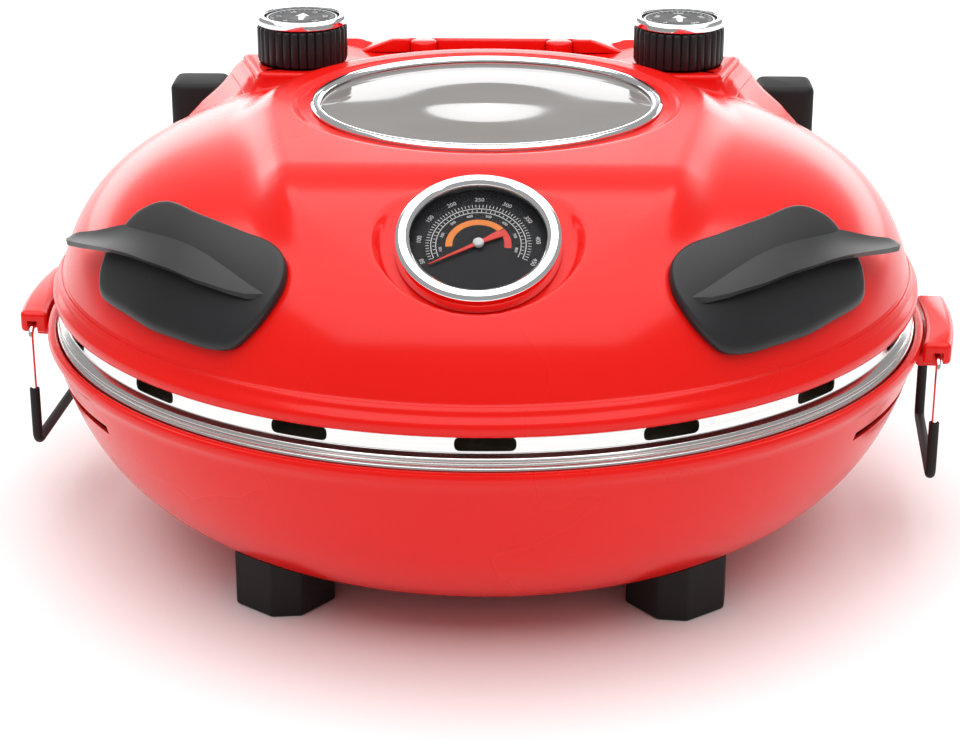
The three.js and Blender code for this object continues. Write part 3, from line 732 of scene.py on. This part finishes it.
def build_lid():
    verts, faces = lid_skin()
    shell = piece("lid_enamel", verts, faces, ENAMEL, "lid", ["lid_shell"])
    shell.modifiers.new("sheet", "SOLIDIFY").thickness = 1.1 * MM
    shell.modifiers["sheet"].offset = -1
    apply_modifiers(shell)
    verts, faces = housing_skin()
    piece("rear_housing", verts, faces, ENAMEL, "lid")
    boss = [(0.01, KNOB_Z - 0.5), (18.2, KNOB_Z - 0.5), (19, KNOB_Z - 0.7), (19.4, KNOB_Z - 1.2),
            (19.5, KNOB_Z - 2), (19.5, KNOB_Z - 10)]
    for side, label in SIDES:
        turned(f"knob_boss_{label}", boss, ENAMEL, "lid",
               centre=(side * KNOB_X, KNOB_Y), is_open=True, sides=96)


# ------------------------------------------------------------------ pieces taken from the CAD
def eased(node, finish, width, angle):
    """Rebuilds a flat-faced CAD node with rounded edges and smooth shading."""
    material, slot = finish
    source = frame["nodes"][node]
    mesh = source.data.copy()
    mesh.materials.clear()
    mesh.materials.append(material)
    obj = linked(f"{node}_eased", mesh)
    with editing(mesh) as bm:
        bmesh.ops.remove_doubles(bm, verts=bm.verts, dist=1e-6)
        bmesh.ops.dissolve_limit(bm, angle_limit=math.radians(1.5), verts=bm.verts,
                                 edges=bm.edges)
    ease(obj, width, angle=angle)
    drop_slivers(obj)
    sharpen(obj, angle)
    finish_piece(obj, source["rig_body"], [node])
    return obj


def build_carried():
    """Smaller parts whose CAD shape is right, given rounded edges and their finish."""
    for nodes, finish, width, angle in (
            ("hinge_bracket", SHEET_STEEL, 0.7, 30),
            ("hinge_arm_left hinge_arm_right", ENAMEL, 1.2, 30),
            ("hinge_pin", STAINLESS, 0.5, 30),
            ("element_support_left element_support_right", SHEET_STEEL, 0.8, 30),
            ("element_hanger_left element_hanger_right", SHEET_STEEL, 0.6, 30),
            ("terminal_block", CERAMIC, 1.0, 30),
            ("timer_unit thermostat_unit", SHEET_STEEL, 1.2, 30),
            ("rear_cover", ENAMEL, 1.0, 28),
            ("cover_cap_left cover_cap_right", ENAMEL, 0.9, 40),
            ("cord_gland", BLACK_RUBBER, 0.5, 40),
            ("insulation_pad", MINERAL_WOOL, 2.5, 40),
            ("gauge_case", SHEET_STEEL, 0.3, 40),
            ("gauge_stem", STAINLESS, 0.5, 50),
            ("gauge_nut", STAINLESS, 0.4, 40),
            ("timer_shaft heat_shaft", STAINLESS, 0.4, 50)):
        for node in nodes.split():
            eased(node, finish, width, angle)


# ------------------------------------------------------------------ base
BOWL_POINTS = [(60, 9), (70, 9), (80, 9), (94, 9.3), (108, 10.8), (128, 17.5), (142, 27.5),
               (154, 39.5), (163, 56), (168.5, 70), (171, 79)]
RIM = [(172.6, 80.6), (173.2, 82), (173.2, 83.6), (172.7, 84.8), (171.8, RIM_Z), (170.6, RIM_Z),
       (169.8, 84.7), (169.5, 83.6)]


def inwards(curve, distance):
    """A profile moved square to itself, towards the oven's axis where the distance is positive."""
    curve = np.array(curve, float)
    step = np.gradient(curve, axis=0)
    step /= np.linalg.norm(step, axis=1)[:, None]
    return curve + np.column_stack([-step[:, 1], step[:, 0]]) * distance


def on_bowl():
    lean = -math.pi / 2 - math.atan2(9, 16.5)
    return (Matrix.Rotation(math.radians(-22), 4, "Z") @ Matrix.Translation((0, 160.8, 52))
            @ Matrix.Rotation(lean, 4, "X"))


def sector(radius_in, radius_out, start, end, steps=16):
    angles = [start + (end - start) * k / steps for k in range(steps + 1)]
    return ([(radius_out * math.sin(a), -radius_out * math.cos(a)) for a in angles]
            + [(radius_in * math.sin(a), -radius_in * math.cos(a)) for a in reversed(angles)])


def circle(radius, sides=48, x=0.0, y=0.0):
    return [(x + radius * math.cos(2 * math.pi * k / sides),
             y + radius * math.sin(2 * math.pi * k / sides)) for k in range(sides)]


def build_bowl():
    curve = smooth_profile(BOWL_POINTS, 6, 70)
    outline = ([(0.01, BOWL_FLOOR)] + [tuple(p) for p in curve] + RIM
               + [tuple(p) for p in inwards(curve, 1.3)[::-1]] + [(0.01, BOWL_FLOOR + 1.3)])
    bowl = turned("base_enamel", outline, ENAMEL, "base", ["base_shell"],
                  radius=0, sides=256)
    for side in (-1, 1):
        middle = side * math.radians(65)
        slot_cut = sector(160, 180, middle - 0.19, middle + 0.19)
        cut_prism(bowl, slot_cut, 67.5, 71)
    cut_prism(bowl, circle(6.4), -12, 12, on_bowl())
    sharpen(bowl)


ROD_X, ROD_Y = 14, 108
PAN = [(118, 28), (133, 34), (145, 44), (154, 56), (160.5, 72), (162.6, 83)]
REFLECTOR = [(164.4, 100.8), (161, 104.5), (150, 115.5), (134, 125.5), (112, 132.5), (60, 137),
             (0.01, 138)]


def cut_holes(obj, *holes):
    """Cuts upright round holes, each (x, y, radius, low, high)."""
    for x, y, radius, low, high in holes:
        cut_prism(obj, circle(radius, 64, x, y), low, high)
    sharpen(obj)


def build_pans():
    curve = smooth_profile(PAN, 4, 28)
    outline = ([(0.01, 28)] + [tuple(p) for p in curve[:-1]]
               + [(162.9, 83), (168.2, 83), (168.4, 83.4), (168.2, 83.8), (162.2, 83.8)]
               + [tuple(p) for p in inwards(curve, 1)[-3::-1]] + [(0.01, 29)])
    pan = turned("pan", outline, SHEET_STEEL, "base", ["base_liner"], radius=0)
    cut_holes(pan, *[(x, ROD_Y, 4.8, 20, 35) for x in (-ROD_X, ROD_X)])
    curve = smooth_profile(REFLECTOR, 4, 34)
    outline = ([(163.2, 98.5), (164.4, 98.5)] + [tuple(p) for p in curve]
               + [tuple(p) for p in inwards(curve, 1)[::-1]])
    hood = turned("reflector", outline, SHEET_STEEL, "lid", ["lid_liner"],
                  radius=0)
    cut_holes(hood, (0, WINDOW_Y, 70, 118, 145), (0, -107, 6, 100, 145),
              *[(x, ROD_Y, 4.8, 115, 145) for x in (-ROD_X, ROD_X)])
    turned("stone_tray_ring", [(138, 70.3), (158.6, 70.3), (158.6, 78), (157.4, 78),
           (157.4, 71.9), (138, 71.9)], SHEET_STEEL, "base", ["stone_tray"],
           radius=0.5)
    for degrees in (45, 135, 225, 315):
        turn = Matrix.Rotation(math.radians(degrees), 4, "Z")
        slab(f"tray_leg_{degrees}", [(142, -6), (147, -6), (147, 6), (142, 6)], 50.2, 70.6,
             SHEET_STEEL, "base", bevel=0.8, place=turn)
    low, high = span("baking_stone", 2)
    radius = span("baking_stone", 0)[1]
    turned("stone", [(0.01, low), (radius, low), (radius, high), (0.01, high)], STONEWARE,
           "base", ["baking_stone"], radius=1.8)
    for name, body, radius, height, end in (("lower", "base", 104, 50, 20),
                                            ("upper", "lid", 120, 117, 143)):
        half_gap = math.asin(ROD_X / radius)
        ring = [(radius * math.cos(a), radius * math.sin(a), height)
                for a in np.linspace(math.pi / 2 + half_gap, 2.5 * math.pi - half_gap, 120)]
        path = bend_corners([(-ROD_X, ROD_Y, end), (-ROD_X, ROD_Y, height), ring[2]], 7)[:-1]
        back = bend_corners([ring[-3], (ROD_X, ROD_Y, height), (ROD_X, ROD_Y, end)], 7)[1:]
        rod(f"{name}_heating_rod", path + ring[2:-2] + back, 3.4, ROD_STEEL, body,
            [f"{name}_heating_element"])


def build_feet():
    under = smooth_profile(BOWL_POINTS, 6, 70) + (0, -0.35)
    outline = [(0.01, BOWL_FLOOR - 0.35)] + [tuple(p) for p in under] + [(171, 95), (0.01, 95)]
    for _, label in SIDES:
        for end in ("front", "rear"):
            name = f"foot_{end}_{label}"
            x, y = middle(name, 0), middle(name, 1)
            turn = Matrix.Translation((x, y, 0)) @ Matrix.Rotation(math.atan2(y, x), 4, "Z")
            block = [(17, 17, 8), (-17, 17, 8), (-17, -17, 8), (17, -17, 8)]
            plan = [p for cx, cy, r in block
                    for p in ((cx, cy - math.copysign(r, cy)), (cx - math.copysign(r, cx), cy))]
            plan = [plan[0], plan[1], plan[3], plan[2], plan[4], plan[5], plan[7], plan[6]]
            foot = slab(f"{name}_rubber", rounded(plan, 2.2), 0, 36, BLACK_RUBBER, "base",
                        [name], bevel=1.4, place=turn)
            cut_with(foot, scratch(*revolved(outline, 96)))
            sharpen(foot)


# ------------------------------------------------------------------ ears and bails
EAR_Y, EAR_HALF = -4, 29
BAIL_X = 177
BAIL_LOW = BAIL_Z - 47.5


def sideways(side):
    """Places a piece drawn at the right side, mirrored for the left, with the pair's turn."""
    turn = Matrix.Rotation(math.radians(-4.5), 4, "Z")
    return turn @ Matrix.Scale(side, 4, (1, 0, 0))


def build_sides():
    for side, label in SIDES:
        place = sideways(side)
        outer, inner = 184.6, 174
        ys = np.linspace(EAR_Y - EAR_HALF, EAR_Y + EAR_HALF, 25)
        plan = ([(math.sqrt(outer ** 2 - y * y), y) for y in ys]
                + [(math.sqrt(inner ** 2 - y * y), y) for y in ys[::-1]])
        ear = slab(f"ear_enamel_{label}", plan, 77.5, 86, ENAMEL, "base",
                   [f"ear_{label}"], bevel=1.8, place=place, segments=4)
        for end in (-1, 1):
            y = EAR_Y + end * EAR_HALF
            cut_prism(ear, [(BAIL_X - 2, y - 6), (BAIL_X + 2, y - 6), (BAIL_X + 2, y + 6),
                            (BAIL_X - 2, y + 6)], 75, 82.4, place)
        sharpen(ear)
        slab(f"ear_tongue_{label}", [(169.5, EAR_Y - 20), (178, EAR_Y - 20), (178, EAR_Y + 20),
             (169.5, EAR_Y + 20)], 73.5, 78.5, ENAMEL, "base", bevel=1.0,
             place=place)
        ends = [EAR_Y - 31.6, EAR_Y + 31.6]
        wire = [(ends[0] + 9.6, BAIL_Z), (ends[0], BAIL_Z), (ends[0], BAIL_LOW),
                (ends[1], BAIL_LOW), (ends[1], BAIL_Z), (ends[1] - 9.6, BAIL_Z)]
        sleeve = [(ends[0], BAIL_Z - 25), *wire[2:4], (ends[1], BAIL_Z - 25)]
        for course, name, node, radius, bore, finish in (
                (wire, "steel", "wire", 1.1, 0, CHROME),
                (sleeve, "sleeve", "grip", 2, 1.5, BLACK_RUBBER)):
            course = bend_corners([(BAIL_X, y, z) for y, z in course], 4.0)
            rod(f"bail_{name}_{label}", [place @ Vector(p) for p in course], radius, finish,
                f"{label}_bail", [f"bail_{node}_{label}"], bore=bore)


# ------------------------------------------------------------------ vent ring and window
def build_vent_ring():
    band = [(166, 101), (166, 90.4), (168.2, 89.3), (168.9, 88.2), (168.2, 87.1), (167.4, 86.5),
            (169.1, 85.9), (169.4, 85), (168.8, 84.2), (163, 84.2), (163, 85.2), (166.2, 85.4),
            (165.4, 87.5), (165, 101)]
    ring = turned("vent_band", band, STAINLESS, "lid", ["vent_ring"], radius=0.5,
                  sides=288)
    opening = rounded([(-10.5, -2.5), (10.5, -2.5), (10.5, 2.5), (-10.5, 2.5)], 2.2, 5)
    for k in range(16):
        place = (Matrix.Rotation(k * math.pi / 8 + 0.02, 4, "Z")
                 @ Matrix.Translation((0, 0, 93.6)) @ Matrix.Rotation(math.pi / 2, 4, "X"))
        cut_prism(ring, opening, 155, 175, place)
    sharpen(ring)


def build_window():
    centre = (0, WINDOW_Y)
    turned("window_trim", [(65.4, 162.7), (65.4, 163.6), (66.4, 164.6), (68.6, 164.6),
           (69.6, 163.6), (69.6, 162.7)], CHROME, "lid", ["window_bezel"],
           radius=0.7, centre=centre)
    turned("window_pane", [(0.01, 158.9), (66.8, 158.9), (66.8, 162.35), (0.01, 162.35)], PANE,
           "lid", ["window_glass"], radius=0.4, centre=centre)
    turned("window_seal", [(61, 156.5), (67, 156.5), (67, 158.6), (61, 158.6)], SILICONE,
           "lid", ["window_gasket"], radius=0.6, centre=centre)
    turned("window_well", [(60.5, 154.8), (67.6, 154.8), (67.6, 137.6), (68.8, 137.6),
           (68.8, 159), (73, 159), (73, 160.5), (67.5, 160.5), (67.5, 156.2), (60.5, 156.2)],
           SHEET_STEEL, "lid", ["window_frame"], radius=0.4, centre=centre)


# ------------------------------------------------------------------ printed marks
PRINT = 0.05


def printed(name, finish, body, place, bars=(), labels=()):
    """Thin printed marks: outlines, and numerals as (text, size, x, y, turn)."""
    verts, faces = [], []
    for outline in bars:
        points, sides = prism_points(outline, 0, PRINT)
        faces += [tuple(i + len(verts) for i in face) for face in sides]
        verts += points
    for text, size, x, y, turn in labels:
        curve = bpy.data.curves.new("numeral", "FONT")
        curve.body, curve.size, curve.extrude = text, size, PRINT / 2
        curve.align_x, curve.align_y, curve.resolution_u = "CENTER", "CENTER", 3
        obj = linked("numeral", curve)
        mesh = evaluated(obj)
        spin = Matrix.Translation((x, y, PRINT / 2)) @ Matrix.Rotation(turn, 4, "Z")
        start = len(verts)
        verts += [spin @ v.co for v in mesh.vertices]
        faces += [tuple(i + start for i in p.vertices) for p in mesh.polygons]
        bpy.data.objects.remove(obj, do_unlink=True)
    return piece(name, [place @ Vector(v) for v in verts], faces, finish, body, smooth=False)


def tick(radius_in, radius_out, width, turn):
    """A radial mark; turn is counted anticlockwise from twelve o'clock."""
    c, s = math.cos(turn), math.sin(turn)
    corners = [(-width / 2, radius_in), (width / 2, radius_in), (width / 2, radius_out),
               (-width / 2, radius_out)]
    return [(x * c - y * s, x * s + y * c) for x, y in corners]


def band(radius_in, radius_out, start, end, steps=48):
    """A curved mark between two turns from twelve o'clock."""
    turns = np.linspace(start, end, steps + 1)
    return ([(-radius_out * math.sin(t), radius_out * math.cos(t)) for t in turns]
            + [(-radius_in * math.sin(t), radius_in * math.cos(t)) for t in turns[::-1]])


def around(texts, radius, size, start, end):
    """Numerals set round an arc, upright to the centre."""
    turns = np.radians(np.linspace(start, end, len(texts)))
    return [(text, size, -radius * math.sin(t), radius * math.cos(t), t)
            for text, t in zip(texts, turns)]


def build_gauge():
    place = Matrix.Translation((0, GAUGE_Y, GAUGE_Z)) @ Matrix.Rotation(GAUGE_TILT, 4, "X")
    turned("gauge_trim", [(23.4, 5.75), (23.8, 7), (25.2, 8), (27.4, 7.8), (28.7, 6.6),
           (GAUGE_R, 4.6), (GAUGE_R, 0.35), (27, 0.35), (27, 5.75)], CHROME, "lid",
           ["gauge_bezel"], radius=0.8, place=place)
    turned("gauge_face", disc_outline(25.3, 1.7, 2.3), DIAL_BLACK, "lid",
           ["gauge_dial"], radius=0.15, place=place)
    turned("gauge_crystal", disc_outline(25.3, 4.7, 5.4), CRYSTAL, "lid",
           ["gauge_lens"], radius=0.2, place=place)
    face = place @ Matrix.Translation((0, 0, 2.3))
    outer, inner = np.linspace(112, -112, 57), np.linspace(105, -105, 36)
    bars = [tick(17.1 if k % 7 else 16.7, 18.3, 0.22, math.radians(t))
            for k, t in enumerate(outer)]
    bars += [band(16.3, 16.6, math.radians(112), math.radians(-112))]
    bars += [tick(15.0, 15.9, 0.22, math.radians(t)) for t in inner]
    bars += [band(14.6, 14.85, math.radians(112), math.radians(-112))]
    labels = around(["50", "100", "150", "200", "250", "300", "350", "400", "450"], 20.6, 2.3,
                    112, -112)
    labels += around(["100", "200", "300", "400", "500", "600", "700", "800"], 13.2, 1.5,
                     100, -100)
    printed("gauge_scale", PRINT_WHITE, "lid", face, bars, labels)
    printed("gauge_warm_band", PRINT_ORANGE, "lid", face,
            [band(9.0, 11.4, math.radians(95), math.radians(-48))])
    printed("gauge_hot_band", PRINT_RED, "lid", face,
            [band(9.0, 11.4, math.radians(-50), math.radians(-98), 20)])
    point = place @ Matrix.Rotation(math.radians(120), 4, "Z")
    slab("needle_blade", [(-1.6, -9), (1.6, -9), (0.95, -3), (0.8, 0), (0.2, 19.5),
         (-0.2, 19.5), (-0.8, 0), (-0.95, -3)], 3.0, 3.5, in_slot(PRINT_RED, "needle_red"),
         "pointer", ["gauge_needle"], bevel=0.12, place=point)
    turned("needle_hub", [(0.01, 2.75), (1.9, 2.75), (1.9, 3.9), (1.5, 4.3), (0.01, 4.4)],
           in_slot(PRINT_WHITE, "needle_red"), "pointer", radius=0.2, sides=64, place=place)


# ------------------------------------------------------------------ knobs
def build_knobs():
    knob_top = CAP_Z - 2.6
    ribs, per = 32, 8
    angle = 2 * np.pi * np.arange(ribs * per) / (ribs * per)
    wave = np.abs(np.sin(ribs * angle / 2)) ** 0.6
    for side, name, numerals in ((-1, "timer", ["0", "5", "10", "15", "20", "25"]),
                                 (1, "heat", ["0", "100", "200", "300", "400"])):
        centre = (side * KNOB_X, KNOB_Y)
        body = f"{name}_dial"
        rows = []
        for inset, z, groove in (
                (9, KNOB_Z + 0.4, 0), (1.3, KNOB_Z, 0.3), (0.5, KNOB_Z + 0.4, 0.8),
                (0, KNOB_Z + 1.4, 1), (0, knob_top - 1.4, 1), (0.4, knob_top - 0.5, 0.8),
                (1.2, knob_top, 0.2), (9, knob_top, 0)):
            radius = KNOB_R - inset - 1.15 * groove * (1 - wave)
            rows.append(np.column_stack([centre[0] + radius * np.cos(angle),
                                         centre[1] + radius * np.sin(angle),
                                         np.full(len(angle), z)]))
        verts, faces = row_mesh(rows)
        faces.append(tuple(range(len(verts) - len(angle), len(verts))))
        knob = piece(f"{name}_grip", verts, faces, BLACK_PLASTIC, body,
                     [f"{name}_knob"])
        sharpen(knob, 40)
        turned(f"{name}_cap", disc_outline(15.7, knob_top - 0.5, CAP_Z),
               in_slot(DIAL_BLACK, "black_plastic"), body, radius=0.5, centre=centre, sides=96)
        turned(f"{name}_rim", [(16, knob_top + 0.35), (KNOB_R, knob_top + 0.35),
               (KNOB_R, knob_top + 2.6), (KNOB_R - 1, knob_top + 3.6), (16, knob_top + 3.6)],
               CHROME, body, [f"{name}_knob_ring"], radius=0.5, centre=centre,
               sides=128)
        face = Matrix.Translation((*centre, CAP_Z))
        bars = [tick(12.6 if k % 5 else 12.0, 13.6, 0.35, math.radians(150 - 10 * k))
                for k in range(31)]
        bars += [band(14.3, 14.9, math.radians(150), math.radians(-150))]
        bars += [[(-1.0, -6), (1.0, -6), (1.5, 1), (3.2, 1), (0, 7), (-3.2, 1), (-1.5, 1)]]
        labels = around(numerals, 9.8, 3.0, 140, -140)
        printed(f"{name}_marks", in_slot(PRINT_WHITE, "black_plastic"), body, face, bars, labels)


# ------------------------------------------------------------------ handles and bumpers
# Along a handle, outward and to the rear is positive; across it is the distance from the axis.
HANDLE_TURN = math.radians(46)
PAD_LIFT = 4.05


def handle_place(side):
    flip = Matrix.Scale(-side, 4, (1, 0, 0))
    return Matrix.Rotation(side * HANDLE_TURN, 4, "Z") @ flip


def pad_outline():
    corners = [(51.6, -143.2), (51.5, -151.2), (47.3, -157.8), (40.9, -161.6), (27.8, -164.7),
               (7.1, -166.8), (-12.2, -165.9), (-27.8, -163.7), (-34.2, -160.4), (-37.5, -155),
               (-36.8, -146.7), (-35, -139.6), (-25.2, -133.8), (-3.7, -135.3), (19.4, -135.1),
               (34.8, -133.9), (45.6, -136.5)]
    return densified(closed_curve(corners), 3.0)


def handle_pad(place):
    points, normal = pad_outline()
    centre = np.array([8.0, -149.0])

    def layer(spot, lift):
        world = np.array([place @ Vector((x, y, 0)) for x, y in spot])[:, :2]
        radius = np.hypot(world[:, 0], world[:, 1])
        lifted, z = above_dome(radius, PAD_LIFT, lift)
        return np.column_stack([world * (lifted / radius)[:, None], z])

    rows = [layer(centre + (points - centre) * 0.9, 0.5), layer(points, 0.5)]
    for k in range(6):
        a = math.pi / 2 * k / 5
        spot = points - normal * (1.6 * (1 - math.cos(a)))
        rows.append(layer(spot, PAD_LIFT - 1.6 + 1.6 * math.sin(a)))
    inner = points - normal * 1.6
    for scale in (0.95, 0.88, 0.78, 0.66, 0.54, 0.42, 0.3, 0.18, 0.08, 0.0):
        rows.append(layer(centre + (inner - centre) * scale, PAD_LIFT))
    return row_mesh(rows, cap=False)


FIN_CREST = [(-49, 138), (-40, 140.7), (-24, 144), (0, 146.6), (30, 142.8), (44, 140.6),
             (52, 139.3), (60, 136.8)]
FIN_ROOT = [(-49, 143.0), (-40, 141), (-22, 139.5), (0, 139), (18, 140.5), (34, 145),
            (46, 151.0), (60, 153.6)]
FIN_EDGE = [(-49, 147.5), (-45, 151.5), (-39, 155.5), (-24, 160.5), (0, 163), (30, 162),
            (45, 160.5), (56, 158.6), (60, 156.6)]


def fin(place):
    """The finger grip: a crowned leaf that thins towards its free edge."""
    along = np.concatenate([np.linspace(-49, -44, 8), np.linspace(-42, 55, 50),
                            np.linspace(56, 59.5, 6)])
    crest = np.polynomial.Polynomial.fit(*np.array(FIN_CREST).T, 4)(along)
    root, edge = (np.interp(along, *np.array(line).T) for line in (FIN_ROOT, FIN_EDGE))
    kernel = np.array([1, 2, 3, 2, 1]) / 9
    root, edge = (np.convolve(np.pad(line, 2, "edge"), kernel, "valid") for line in (root, edge))
    edge = np.maximum(edge, root + 0.6)
    ends = np.minimum(np.clip((along + 49.4) / 5, 0, 1), np.clip((60 - along) / 5, 0, 1))
    ends = np.sqrt(1 - (1 - ends) ** 2)
    middle, half = (root + edge) / 2, (edge - root) / 2
    root, edge = middle - half * ends, middle + half * ends
    crest = crest - 1.4 * (1 - ends)
    rows = []
    for t, z0, near, far, full in zip(along, crest, root, edge, ends):
        across = np.linspace(0, 1, 14)
        rho = near + (far - near) * across
        top = z0 - 0.29 * (rho - 142) - 1.1 * np.sin(np.pi * across) * (far - near) / 22
        thick = (3.4 - 1.2 * across) * np.sqrt(1 - np.clip((across - 0.9) / 0.1, 0, 1) ** 2)
        thick = thick * (0.15 + 0.85 * full)
        upper = [(-t, -r, z) for r, z in zip(rho, top)]
        lower = [(-t, -r, z - h) for r, z, h in zip(rho, top, thick)][::-1]
        rows.append(np.array([place @ Vector(p) for p in upper + lower[1:]]))
    verts, faces = row_mesh(rows)
    count = len(rows[0])
    faces.append(tuple(range(len(verts) - count, len(verts))))
    return verts, faces


def build_handles():
    for side, label in SIDES:
        place = handle_place(side)
        verts, faces = handle_pad(place)
        pad = piece(f"handle_pad_{label}", verts, faces, BLACK_PLASTIC, "lid",
                    [f"handle_{label}"])
        drop_slivers(pad)
        sharpen(pad, 50)
        verts, faces = fin(place)
        grip = piece(f"handle_fin_{label}", verts, faces, BLACK_PLASTIC, "lid")
        drop_slivers(grip)
        sharpen(grip, 55)
        plan = rounded([(118, 126), (142.5, 126), (142.5, 150), (118, 150)], 5)
        mirror = Matrix.Scale(side, 4, (1, 0, 0))
        slab(f"bumper_pad_{label}", plan, 117, 141, BLACK_RUBBER, "lid",
             [f"rear_bumper_{label}"], bevel=2.6, place=mirror, segments=4)
        stub = [(108.35, 130), (122, 130), (122, 146), (108.35, 146)]
        slab(f"bumper_stub_{label}", stub, 121, 137, BLACK_RUBBER, "lid",
             bevel=1.2, place=mirror)


build_lid()
build_carried()
build_bowl()
build_pans()
build_feet()
build_sides()
build_vent_ring()
build_window()
build_gauge()
build_knobs()
build_handles()


# ------------------------------------------------------------------ camera, light and floor
CAMERA_TURN, CAMERA_PITCH = math.radians(1.3), 0.373


def softbox(name, place, target, width, height, power):
    data = bpy.data.lights.new(name, "AREA")
    data.shape = "RECTANGLE"
    data.size, data.size_y, data.energy = width, height, power
    light = linked(name, data)
    light.location = place
    light.rotation_euler = (Vector(target) - Vector(place)).to_track_quat("-Z", "Y").to_euler()
    light.visible_camera = False


def build_stage():
    scene = bpy.context.scene
    scene.view_settings.view_transform = "Standard"
    size = 30
    floor_mesh = bpy.data.meshes.new("floor")
    floor_mesh.from_pydata([(-size, -size, 0), (size, -size, 0), (size, size, 0),
                            (-size, size, 0)], [], [(0, 1, 2, 3)])
    floor = linked("floor", floor_mesh)
    material, _, shader = new_material("pale_floor")
    set_values(shader, Base_Color=(0.93, 0.93, 0.93, 1), Roughness=0.7, Specular_IOR_Level=0.1)
    floor_mesh.materials.append(material)

    world = bpy.data.worlds.new("studio")
    scene.world = world
    world.use_nodes = True
    background = world.node_tree.nodes["Background"]
    background.inputs["Color"].default_value = (1, 1, 1, 1)
    background.inputs["Strength"].default_value = 0.36

    softbox("top", (0, -0.1, 1.7), (0, 0, 0.1), 2.8, 3.2, 62)
    softbox("back", (0, 1.7, 0.34), (0, 0, 0.16), 3.6, 0.5, 15)

    camera = bpy.data.cameras.new("camera")
    camera.sensor_width, camera.lens = 36, 90
    eye = linked("camera", camera)
    place = Matrix.Rotation(CAMERA_TURN, 4, "Z") @ Vector((-2.2, -906.4, LID_Z + 311.2))
    eye.location = place * MM + AXIS
    eye.rotation_euler = (math.pi / 2 - CAMERA_PITCH, 0, CAMERA_TURN)
    camera.clip_start, camera.clip_end = 0.05, 100
    scene.camera = eye


build_stage()
